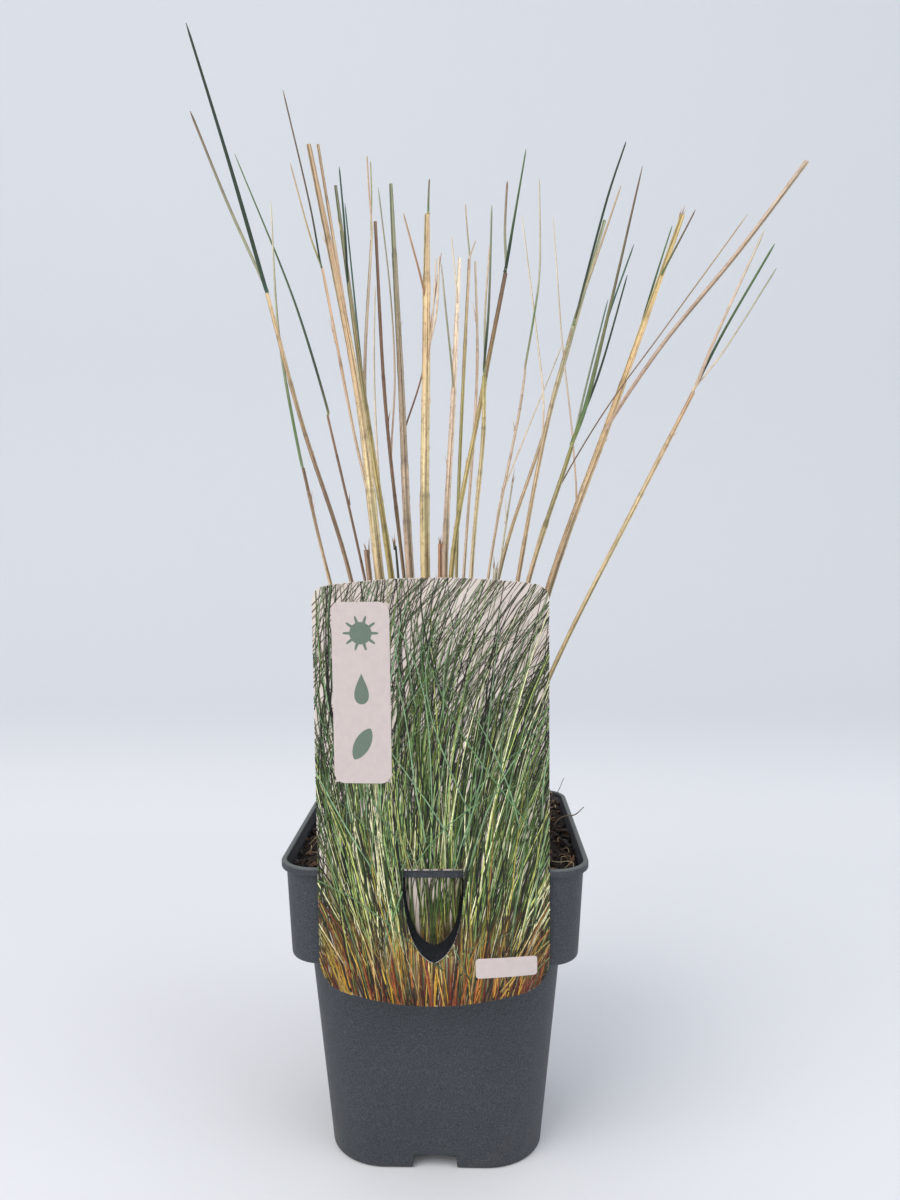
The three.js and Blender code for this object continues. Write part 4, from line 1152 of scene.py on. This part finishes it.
def build_fibres(material):
    """Pale root fibres that lie on and loop over the compost, and twigs that reach past the rim."""
    random = np.random.default_rng(41)
    parts = []
    places = scatter(190, random)
    for x, y in places:
        turn = random.uniform(0, 2 * math.pi)
        length = random.uniform(6, 24)
        bend = random.uniform(-1.6, 1.6)
        share = np.linspace(0, 1, FIBRE_ROWS)
        heading = turn + bend * share + 0.5 * np.sin(6 * share + random.uniform(0, PHASE))
        step = length / (FIBRE_ROWS - 1)
        path_x = x + np.cumsum(np.cos(heading)) * step
        path_y = y + np.cumsum(np.sin(heading)) * step
        limit = COMPOST_SIDE / 2 - 3
        path_x = np.clip(path_x, -limit, limit)
        path_y = np.clip(path_y, SLOT_BACK_Y + 3, limit)
        lift = random.uniform(0.3, 3.2) * np.sin(math.pi * share) + random.uniform(0.2, 1.2)
        path = np.c_[path_x, path_y, compost_top(path_x, path_y) + lift]
        thick = random.uniform(0.12, 0.34) * np.linspace(1, 0.6, FIBRE_ROWS)[:, None] * np.ones((1, 5))
        shade = FIBRE_SHADES[random.integers(0, 4)]
        parts.append(tube(path, thick, np.array(shade)[None] * random.uniform(0.7, 1.15, (FIBRE_ROWS, 1))))
    for spots, thick, shade in TWIGS:
        path = smooth_path(spots, TWIG_ROWS)
        rough = 1 + 0.12 * random.standard_normal((TWIG_ROWS, 6))
        radius = np.linspace(thick, thick * 0.5, TWIG_ROWS)[:, None] * rough
        parts.append(tube(path, radius, np.array(shade)[None] * random.uniform(0.7, 1.1, (TWIG_ROWS, 1))))
    return join_parts("root_fibres", parts, material)


# The root fibres' colours, and the rings along a fibre and a twig
FIBRE_SHADES = [srgb(168, 146, 118), srgb(120, 92, 70), srgb(196, 180, 154), srgb(70, 50, 38)]
FIBRE_ROWS = 14
TWIG_ROWS = 22

# Twigs and roots that stick up past the rim: their points, thickness and colour
TWIGS = [
    ([(56, 40, 151), (60, 44, 156), (66, 47, 158), (71, 50, 167)], 0.3, srgb(60, 46, 38)),
    ([(60, 8, 150), (66, 9, 156), (73, 10, 157), (78, 11, 161)], 0.45, srgb(110, 92, 76)),
    ([(58, 30, 150), (62, 32, 157), (66, 34, 160)], 0.3, srgb(120, 98, 78)),
    ([(-66, -20, 149), (-58, -28, 157), (-52, -34, 156)], 0.3, srgb(170, 150, 122)),
    ([(-64, -34, 149), (-58, -40, 158), (-55, -46, 162)], 0.25, srgb(150, 128, 100)),
    ([(-60, 38, 150), (-64, 44, 158), (-66, 50, 163)], 0.3, srgb(96, 74, 58)),
    ([(20, 58, 151), (26, 64, 158), (34, 68, 160)], 0.3, srgb(140, 118, 92)),
]


# The label's pale areas: the middle of each, and half its width and height
PANEL = (-31, 237, 13, 41)
PLATE = (33, 111, 14, 4.5)

# The printed blades, from the back of the picture to its front: how many, where their roots lie in x
# and z, their length, how they fan out from the middle root, how unevenly, how far they curl over to
# the right by their tips, half their width, and their colours
PRINT_ROOT_X = 4
STROKE_STEPS = 460
SHORTEST_RUN = 8
RIBBON_HALF = 0.02
FIRST_LIFT = 0.03
LIFT_RANGE = 0.24
PATCH_RINGS = 5
PATCH_DEPTH = 0.15
PRINT_BROWN_Z = (98, 136)
FOOT_INKS = [
    srgb(184, 98, 40), srgb(112, 34, 22), srgb(232, 178, 48), srgb(52, 26, 12), srgb(150, 106, 60),
    srgb(224, 180, 84), srgb(96, 92, 28), srgb(34, 24, 10), srgb(146, 62, 34), srgb(40, 22, 14),
]
DARK_INKS = [srgb(12, 16, 4), srgb(32, 26, 10), srgb(18, 34, 12)]
MID_INKS = [srgb(60, 88, 24), srgb(94, 112, 38), srgb(72, 100, 46)]
PALE_INKS = [srgb(196, 204, 116), srgb(234, 230, 184), srgb(150, 184, 112)]
TIP_INKS = [srgb(76, 84, 52), srgb(38, 42, 24), srgb(112, 132, 92)]
PRINT_KINDS = [
    dict(count=200, root=(-40, 70), start=(80, 170), length=(120, 230), fan=0.35, spread=0.12,
         curl=(0.5, 1.5), half=(0.14, 0.28), colours=DARK_INKS),
    dict(count=170, root=(-50, 56), start=(70, 150), length=(110, 210), fan=0.5, spread=0.13,
         curl=(0.2, 0.9), half=(0.18, 0.42), colours=DARK_INKS + MID_INKS),
    dict(count=190, root=(-52, 54), start=(60, 120), length=(80, 190), fan=0.55, spread=0.16,
         curl=(-0.2, 0.8), half=(0.18, 0.42), colours=MID_INKS + PALE_INKS),
    dict(count=110, root=(-20, 60), start=(150, 215), length=(60, 140), fan=0.3, spread=0.25,
         curl=(0.4, 1.5), half=(0.14, 0.28), colours=DARK_INKS),
    dict(count=230, root=(-24, 30), start=(60, 150), length=(100, 200), fan=0.45, spread=0.1,
         curl=(0.0, 0.6), half=(0.16, 0.36), colours=DARK_INKS + MID_INKS + PALE_INKS),
    dict(count=90, root=(-52, 6), start=(170, 240), length=(50, 110), fan=0.2, spread=0.2,
         curl=(0.3, 1.1), half=(0.18, 0.4),
         colours=DARK_INKS + MID_INKS + [srgb(128, 160, 118), srgb(84, 116, 74)]),
    dict(count=300, root=(-52, 54), start=(60, 120), length=(30, 100), fan=0.4, spread=0.16,
         curl=(-0.3, 0.4), half=(0.18, 0.44),
         colours=DARK_INKS + DARK_INKS + PALE_INKS[:2] + [srgb(186, 162, 70), srgb(138, 70, 38)]),
    dict(count=30, root=(-30, 50), start=(96, 190), length=(80, 150), fan=0.5, spread=0.5,
         curl=(-1.2, 2.2), half=(0.24, 0.42), colours=[srgb(128, 160, 118), srgb(104, 138, 92)]),
]
TONGUE_KINDS = [
    dict(count=46, root=(-14, 14), start=(100, 120), length=(30, 70), fan=0.3, spread=0.08,
         curl=(-0.2, 0.3), half=(0.2, 0.5), colours=DARK_INKS + MID_INKS),
    dict(count=40, root=(-14, 14), start=(100, 130), length=(20, 60), fan=0.3, spread=0.1,
         curl=(-0.2, 0.3), half=(0.16, 0.32), colours=MID_INKS + PALE_INKS[:1]),
]


# The label


def label_front(x, z):
    """The y of the card's front: near the lip where it hangs, out at its head, bowed at its foot."""
    below = np.maximum(0, (LABEL_HANG_Z - z) / (LABEL_HANG_Z - LABEL_FOOT_Z))
    above = np.maximum(0, (z - LABEL_HANG_Z) / (LABEL_TOP_Z - LABEL_HANG_Z))
    middle = LABEL_HANG_Y - LABEL_FOOT_OUT * below ** 1.5 - LABEL_HEAD_OUT * above ** 1.5
    bow = LABEL_BOW + LABEL_FOOT_BOW * below ** 1.5 + LABEL_HEAD_BOW * above
    return middle + bow * (2 * x / LABEL_WIDTH) ** 2


def hang(points):
    """The label's points turned a little about the place where it hangs."""
    x, y, z = points[:, 0], points[:, 1], points[:, 2] - LABEL_HANG_Z
    cosine, sine = math.cos(LABEL_TILT), math.sin(LABEL_TILT)
    return np.stack([x * cosine + z * sine, y, z * cosine - x * sine + LABEL_HANG_Z], axis=-1)


def quadratic(start, control, end, steps):
    """Points on a quadratic curve, without its start."""
    t = np.linspace(0, 1, steps + 1)[1:, None]
    start, control, end = (np.array(spot, float) for spot in (start, control, end))
    return (1 - t) ** 2 * start + 2 * t * (1 - t) * control + t ** 2 * end


def label_outline():
    """Straight sides, round corners, and a low arch at the top and at the foot."""
    half = LABEL_WIDTH / 2
    top = LABEL_TOP_Z - LABEL_ARCH
    foot = LABEL_FOOT_Z + LABEL_ARCH
    foot_x = half - LABEL_FOOT_RADIUS
    foot_z = foot + LABEL_FOOT_RADIUS
    top_x = half - LABEL_TOP_RADIUS
    top_z = top - LABEL_TOP_RADIUS
    return np.vstack([
        quadratic((-half, foot_z), (-half, foot + 1), (-foot_x, foot), 12),
        quadratic((-foot_x, foot), (0, foot - 2 * LABEL_ARCH), (foot_x, foot), 20),
        quadratic((foot_x, foot), (half, foot + 1), (half, foot_z), 12),
        [(half, top_z)],
        quadratic((half, top_z), (half, top - 0.5), (top_x, top), 10),
        quadratic((top_x, top), (0, top + 2 * LABEL_ARCH), (-top_x, top), 20),
        quadratic((-top_x, top), (-half, top - 0.5), (-half, top_z), 10),
    ])


def tongue_outline(half, foot, tip):
    """A shield: straight sides, then two round flanks that meet in a point at the tip."""
    height = foot - tip
    shoulder = tip + height * 0.75
    flank = tip + height * 0.1
    return np.vstack([
        [(half, foot), (-half, foot), (-half, shoulder)],
        quadratic((-half, shoulder), (-half * 0.88, flank), (0, tip), 14),
        quadratic((0, tip), (half * 0.88, flank), (half, shoulder), 14),
    ])


def build_card(material):
    """A bent slab, cut to its outline, with the tongue's opening through it."""
    columns, rows = 61, 111
    x = np.linspace(-LABEL_WIDTH / 2 - 2, LABEL_WIDTH / 2 + 2, columns)
    z = np.linspace(LABEL_FOOT_Z - 4, LABEL_TOP_Z + 4, rows)
    grid_x, grid_z = np.meshgrid(x, z)
    y = label_front(grid_x, grid_z)
    front = np.stack([grid_x, y, grid_z], axis=-1).reshape(-1, 3)
    back = np.stack([grid_x, y + LABEL_THICKNESS, grid_z], axis=-1).reshape(-1, 3)
    count = rows * columns
    quads = grid_quads(rows, columns, wrap=False)
    border = np.concatenate([
        np.arange(columns), np.arange(2, rows + 1) * columns - 1,
        count - 2 - np.arange(columns - 1), np.arange(rows - 2, 0, -1) * columns,
    ])
    beside = np.roll(border, -1)
    edge = np.stack([beside, border, border + count, beside + count], axis=-1)
    faces = np.vstack([quads, quads[:, ::-1] + count, edge])
    card = make_piece("label_card", np.vstack([front, back]), faces.tolist(), material)
    cut(card, prism(label_outline(), "y", -200, 0), "INTERSECT")
    opening = tongue_outline(TONGUE_WIDTH / 2 + TONGUE_CUT, LABEL_HANG_Z + 1, LABEL_HANG_Z - OPENING_LENGTH)
    cut(card, prism(opening, "y", -200, 0))
    write_points(card, hang(read_points(card)))
    shade_by_angle(card, 40)
    return card


def build_tongue(material):
    """The tongue: from the card it folds back over the lip's bar and hangs down behind it."""
    front = LABEL_HANG_Y + 0.2
    top = LABEL_HANG_Z + 0.05
    bend = np.radians(np.linspace(90, 0, 7))
    fold = np.c_[TONGUE_Y + FOLD_RADIUS * (np.cos(bend) - 1), top + FOLD_RADIUS * (np.sin(bend) - 1)]
    spots = np.vstack([[(front, top + 0.6), (front + 1.5, top + 0.15)], fold])
    down = np.linspace(0, 1, 40)[1:, None]
    hanging = fold[-1] + down * np.array([TONGUE_LEAN, -(TONGUE_DROP - FOLD_RADIUS)])
    path = np.vstack([spots, hanging])
    tip = LABEL_HANG_Z - TONGUE_DROP
    half = shield_reach(np.maximum(path[:, 1], tip), TONGUE_WIDTH / 2, LABEL_HANG_Z, tip)
    half = np.maximum(half, 0.15)
    across = np.linspace(-1, 1, 17)
    x = half[:, None] * across[None]
    y = np.repeat(path[:, :1], len(across), axis=1)
    z = np.repeat(path[:, 1:], len(across), axis=1)
    points = np.stack([x, y, z], axis=-1).reshape(-1, 3)
    quads = grid_quads(len(path), len(across), wrap=False).tolist()
    tongue = make_piece("label_tongue", hang(points), quads, material)
    thick = tongue.modifiers.new("thickness", "SOLIDIFY")
    thick.thickness = 0.0005
    thick.offset = 0
    return tongue


def even_steps(outline, step):
    """The closed outline with more points, so that none lie further apart than the step."""
    spots = []
    for start, end in zip(outline, np.roll(outline, -1, axis=0)):
        count = max(1, math.ceil(np.linalg.norm(end - start) / step))
        share = np.arange(count)[:, None] / count
        spots.append(start * (1 - share) + end * share)
    return np.vstack(spots)


def card_reach(x):
    """The lowest and highest z of the card's outline at each x."""
    outline = label_outline()
    low = outline[outline[:, 1] < (LABEL_TOP_Z + LABEL_FOOT_Z) / 2]
    high = outline[outline[:, 1] > (LABEL_TOP_Z + LABEL_FOOT_Z) / 2]
    low = low[np.argsort(low[:, 0], kind="stable")]
    high = high[np.argsort(high[:, 0], kind="stable")]
    return np.interp(x, low[:, 0], low[:, 1]) + 0.05, np.interp(x, high[:, 0], high[:, 1]) - 0.05


def shield_reach(z, half, foot, tip):
    """Half the width of a shield at each z."""
    flank = tongue_outline(half, foot, tip)[2:18]
    order = np.argsort(flank[:, 1])
    return np.interp(z, flank[order, 1], -flank[order, 0])


def is_on_card(x, z):
    """Whether a place on the card takes a stroke: inside its outline, and off the opening and pale areas."""
    low, high = card_reach(x)
    inside = (np.abs(x) < LABEL_WIDTH / 2 - 0.05) & (z > low) & (z < high)
    half = TONGUE_WIDTH / 2 + TONGUE_CUT + 0.15
    tip = LABEL_HANG_Z - OPENING_LENGTH - 0.15
    foot = LABEL_HANG_Z + 1.1
    inside &= ~((z > tip) & (z < foot) & (np.abs(x) < shield_reach(z, half, foot, tip)))
    for middle_x, middle_z, half_x, half_z in (PANEL, PLATE):
        inside &= (np.abs(x - middle_x) > half_x - 0.5) | (np.abs(z - middle_z) > half_z - 0.5)
    return inside


def is_on_tongue(x, z):
    """Whether a place on the tongue takes a stroke."""
    tip = LABEL_HANG_Z - TONGUE_DROP + 0.3
    half = shield_reach(z, TONGUE_WIDTH / 2 - 0.2, LABEL_HANG_Z, tip)
    return (z > tip) & (z < LABEL_HANG_Z - 1) & (np.abs(x) < half)


def tongue_front(x, z):
    """The y of the hanging tongue's front at each place."""
    return TONGUE_Y + TONGUE_LEAN * (LABEL_HANG_Z - z) / TONGUE_DROP - 0.25 + 0 * x


def stroke_line(kind, random):
    """A printed blade of grass: it leans as its root says, and curls over more and more to its tip."""
    x = random.uniform(*kind["root"])
    z = random.uniform(*kind["start"])
    length = random.uniform(*kind["length"])
    lean = kind["fan"] * (x - PRINT_ROOT_X) / 50 + random.normal(0, kind["spread"])
    curl = random.uniform(*kind["curl"])
    along = np.linspace(0, 1, STROKE_STEPS)
    heading = lean + curl * along ** 1.7 + 0.05 * np.sin(9 * along + random.uniform(0, PHASE))
    step = length / (STROKE_STEPS - 1)
    path_x = x + np.cumsum(np.sin(heading)) * step
    path_z = z + np.cumsum(np.cos(heading)) * step
    half = random.uniform(*kind["half"]) * np.clip(1.15 - along, 0.15, 1) ** 0.6
    return path_x, path_z, half, along


def printed_strokes(name, kinds, takes, front, material, random):
    """The strokes of a picture: thin flat ribbons, each a little above the one before, bent to their card."""
    parts = []
    order = [number for number, kind in enumerate(kinds) for _ in range(kind["count"])]
    for layer, number in enumerate(order):
        kind = kinds[number]
        x, z, half, along = stroke_line(kind, random)
        colour = np.array(kind["colours"][random.integers(0, len(kind["colours"]))])
        colour = colour * random.uniform(0.72, 1.3)
        tip = np.array(TIP_INKS[random.integers(0, len(TIP_INKS))])
        base = np.array(FOOT_INKS[random.integers(0, len(FOOT_INKS))]) * random.uniform(0.7, 1.3)
        inside = np.concatenate([[False], takes(x, z), [False]])
        change = np.flatnonzero(inside[1:] != inside[:-1])
        lift = FIRST_LIFT + LIFT_RANGE * layer / len(order)
        for start, end in zip(change[::2], change[1::2]):
            if end - start < SHORTEST_RUN:
                continue
            rows = int(np.clip((end - start) / 40, 3, 11))
            pick = np.linspace(start, end - 1, rows).round().astype(int)
            path = np.c_[x[pick], np.full(rows, -lift), z[pick]]
            thin = np.full(rows, RIBBON_HALF)
            radius = np.stack([thin, half[pick], thin, half[pick]], axis=-1)
            low = np.clip((z[pick] - PRINT_BROWN_Z[0]) / (PRINT_BROWN_Z[1] - PRINT_BROWN_Z[0]), 0, 1)[:, None]
            high = np.clip(along[pick] * 2 - 1, 0, 1)[:, None] * 0.7
            shade = (base * (1 - low) + colour * low) * (1 - high) + tip * high
            parts.append(tube(path, radius, shade))
    strokes = join_parts(name, parts, material)
    spots = read_points(strokes)
    spots[:, 1] += front(spots[:, 0], spots[:, 2])
    write_points(strokes, hang(spots))
    return strokes


def round_panel(half_x, half_z, corner):
    """The outline of a printed panel with round corners, in short steps."""
    return even_steps(rounded_box(-half_x, half_x, -half_z, half_z, corner, 8), 1.5)


def sun_outline():
    """A disc with ten short rays: the radius is 5 and 3 more at each ray."""
    turn = np.linspace(0, 2 * math.pi, 240, endpoint=False)
    radius = 5.0 + 3.0 * np.clip(np.cos(10 * turn) * 1.6 - 0.5, 0, 1)
    return np.c_[radius * np.cos(turn), radius * np.sin(turn)]


def drop_outline():
    """A water drop: round below, and pointed above."""
    turn = np.linspace(0, 2 * math.pi, 120, endpoint=False)
    return np.c_[-4.6 * np.sin(turn) * np.sin(turn / 2) ** 1.4, 7.0 * np.cos(turn)]


def leaf_outline():
    """A leaning leaf, pointed at both ends: its width follows a sine raised to the power 1.4."""
    turn = np.linspace(0, 2 * math.pi, 120, endpoint=False)
    wide = 3.6 * np.sin(turn) * np.abs(np.sin(turn)) ** 0.4
    tall = 8.0 * np.cos(turn)
    lean = math.radians(-28)
    cosine, sine = math.cos(lean), math.sin(lean)
    return np.c_[-wide * cosine - tall * sine, -wide * sine + tall * cosine]


def print_patch(name, outline, x, z, material, lift):
    """A flat printed area on the card: rings from its middle out to its outline, which rays from it reach."""
    share = np.linspace(0.02, 1, PATCH_RINGS)[:, None, None]
    flat = outline[None] * share + np.array([x, z])
    points = np.stack([flat[..., 0], label_front(flat[..., 0], flat[..., 1]) - lift, flat[..., 1]], axis=-1)
    inner = points.copy()
    inner[..., 1] += lift + PATCH_DEPTH
    columns = len(outline)
    count = PATCH_RINGS * columns
    quads = grid_quads(PATCH_RINGS, columns)
    middle = np.arange(columns)
    faces = quads[:, ::-1].tolist() + [middle.tolist()]
    faces += (quads + count).tolist() + [(middle[::-1] + count).tolist()]
    last = count - columns + middle
    beside = np.roll(last, -1)
    faces += np.stack([beside, last, last + count, beside + count], axis=-1).tolist()
    whole = hang(np.vstack([points.reshape(-1, 3), inner.reshape(-1, 3)]))
    return make_piece(name, whole, faces, material, smooth=False)

# The stage, in millimetres: how far the floor reaches, where and how it bends up, and the wall's top
FLOOR_REACH = 6000.0
BEND_START = 400.0
BEND_RADIUS = 600.0
STAGE_TOP = 7000.0


def stage_material():
    """Pale paper: a nearly white floor that turns to a slightly darker wall as it sweeps up; the wall's
    darker tone is painted shade.
    """
    material, tree, shader, add = new_material("pale_sweep")
    split = add("ShaderNodeSeparateXYZ")
    tree.links.new(add("ShaderNodeTexCoord").outputs["Object"], split.inputs[0])
    # Painted shade: the paper is painted darker where it rises into the wall
    rise = fade(tree, add, split.outputs["Z"], -0.02, 0.1)
    paper = mix(tree, add, rise, srgb(235, 236, 239), srgb(210, 213, 218))
    tree.links.new(paper, shader.inputs["Base Color"])
    shader.inputs["Roughness"].default_value = 0.8
    return material


def build_stage():
    """A plain pale floor that sweeps up behind into a plain pale wall."""
    turn = np.radians(np.linspace(0, 90, 25))[1:]
    bend = np.c_[BEND_START + BEND_RADIUS * np.sin(turn), BEND_RADIUS - BEND_RADIUS * np.cos(turn)]
    floor_line = [(-FLOOR_REACH, 0), (BEND_START, 0)]
    profile = np.vstack([floor_line, bend, [(BEND_START + BEND_RADIUS, STAGE_TOP)]])
    sides = [np.c_[np.full(len(profile), x), profile] for x in (-FLOOR_REACH, FLOOR_REACH)]
    points = np.stack(sides, axis=1).reshape(-1, 3)
    quads = grid_quads(len(profile), 2, wrap=False).tolist()
    make_piece("sweep", points, quads, stage_material())


def area_light(name, place, target, size, power, colour):
    """A soft square light that faces its target."""
    lamp = bpy.data.lights.new(name, "AREA")
    lamp.shape = "SQUARE"
    lamp.size = size
    lamp.energy = power
    lamp.color = colour
    holder = bpy.data.objects.new(name, lamp)
    direction = np.array(target) - np.array(place)
    yaw = math.atan2(direction[1], direction[0]) - math.pi / 2
    tilt = math.atan2(np.hypot(direction[0], direction[1]), -direction[2])
    holder.location = place
    holder.rotation_euler = (tilt, 0, yaw)
    bpy.context.scene.collection.objects.link(holder)


def build_light():
    """A pale even sky and two large soft lights."""
    world = bpy.data.worlds.new("soft_sky")
    world.use_nodes = True
    background = world.node_tree.nodes["Background"]
    background.inputs["Color"].default_value = (*srgb(226, 228, 232), 1)
    background.inputs["Strength"].default_value = 0.9
    bpy.context.scene.world = world
    bpy.context.scene.view_settings.view_transform = "Standard"
    area_light("window", (-1.1, -1.3, 1.7), (0, 0, 0.2), 1.6, 26, (1.0, 0.98, 0.95))
    area_light("fill", (1.4, -0.9, 1.2), (0, 0, 0.25), 1.4, 9, (0.92, 0.96, 1.0))


def build_camera():
    """The camera at the photograph's place and angle."""
    data = bpy.data.cameras.new("camera")
    data.lens = CAMERA_LENS
    data.sensor_width = SENSOR
    data.clip_start = 0.01
    data.clip_end = 50
    camera = bpy.data.objects.new("camera", data)
    camera.location = CAMERA_PLACE
    camera.rotation_euler = (math.radians(90 - CAMERA_DOWN), 0, math.radians(CAMERA_TURN))
    bpy.context.scene.collection.objects.link(camera)
    bpy.context.scene.camera = camera


CUTTER_FINISH = bpy.data.materials.new("cutter")

build_camera()
build_light()
build_stage()

finish_piece(add_label_slot(build_pot(pot_material())), "pot", "pot")

peat = compost_material()
finish_piece(compost_bed(peat, np.random.default_rng(7)), "compost", "compost")
PEAT_SHADES = [srgb(40, 30, 26), srgb(60, 46, 38), srgb(30, 23, 21), srgb(84, 62, 48), srgb(52, 46, 46)]
BARK_SHADES = [srgb(66, 48, 38), srgb(48, 36, 31), srgb(104, 76, 56), srgb(36, 28, 25), srgb(56, 50, 50)]

# The loose lumps: name, count, least and greatest length, flatness, how far they tip, how high they
# lie on the bed, their colours, and the seed of their draws
LUMPS = [
    ("compost_crumbs", 2300, 1.0, 3.0, 0.7, 1.2, (0.2, 2.2), PEAT_SHADES, 21),
    ("bark_chips", 640, 2.6, 6.0, 0.35, 0.9, (0.8, 3.0), BARK_SHADES, 22),
    ("bark_pieces", 26, 7, 11, 0.25, 0.5, (1.2, 2.6), BARK_SHADES, 23),
]
for name, count, low, high, flatness, tip, rise, shades, seed in LUMPS:
    lumps = compost_lumps(name, count, low, high, flatness, tip, rise, shades, peat, seed)
    finish_piece(lumps, "compost")
finish_piece(build_fibres(grass_material("root_fibre", 0.8)), "compost")

card_finish = label_material()
finish_piece(build_card(card_finish), "label", "label")
finish_piece(build_tongue(card_finish), "label")
ink = ink_material()
PICTURES = [
    ("label_strokes", PRINT_KINDS, is_on_card, label_front, 61),
    ("tongue_strokes", TONGUE_KINDS, is_on_tongue, tongue_front, 62),
]
for name, kinds, takes, front, seed in PICTURES:
    strokes = printed_strokes(name, kinds, takes, front, ink, np.random.default_rng(seed))
    finish_piece(strokes, "label")
panel_finish = plain_material("pale_panel", srgb(206, 193, 189), 0.42)
green_ink = plain_material("green_ink", srgb(104, 120, 106), 0.42)
PRINTED = [
    ("label_panel", round_panel(PANEL[2], PANEL[3], 5), PANEL[0], PANEL[1], panel_finish, 0.3),
    ("label_plate", round_panel(PLATE[2], PLATE[3], 1.5), PLATE[0], PLATE[1], panel_finish, 0.3),
    ("label_sun", sun_outline(), PANEL[0], 264, green_ink, 0.34),
    ("label_drop", drop_outline(), PANEL[0], 239, green_ink, 0.34),
    ("label_leaf", leaf_outline(), PANEL[0], 214, green_ink, 0.34),
]
for name, outline, x, z, finish, lift in PRINTED:
    finish_piece(print_patch(name, outline, x, z, finish, lift), "label")

build_grass(grass_material("dry_sheath", 0.62), grass_material("rolled_leaf", 0.5))

bpy.data.materials.remove(CUTTER_FINISH)
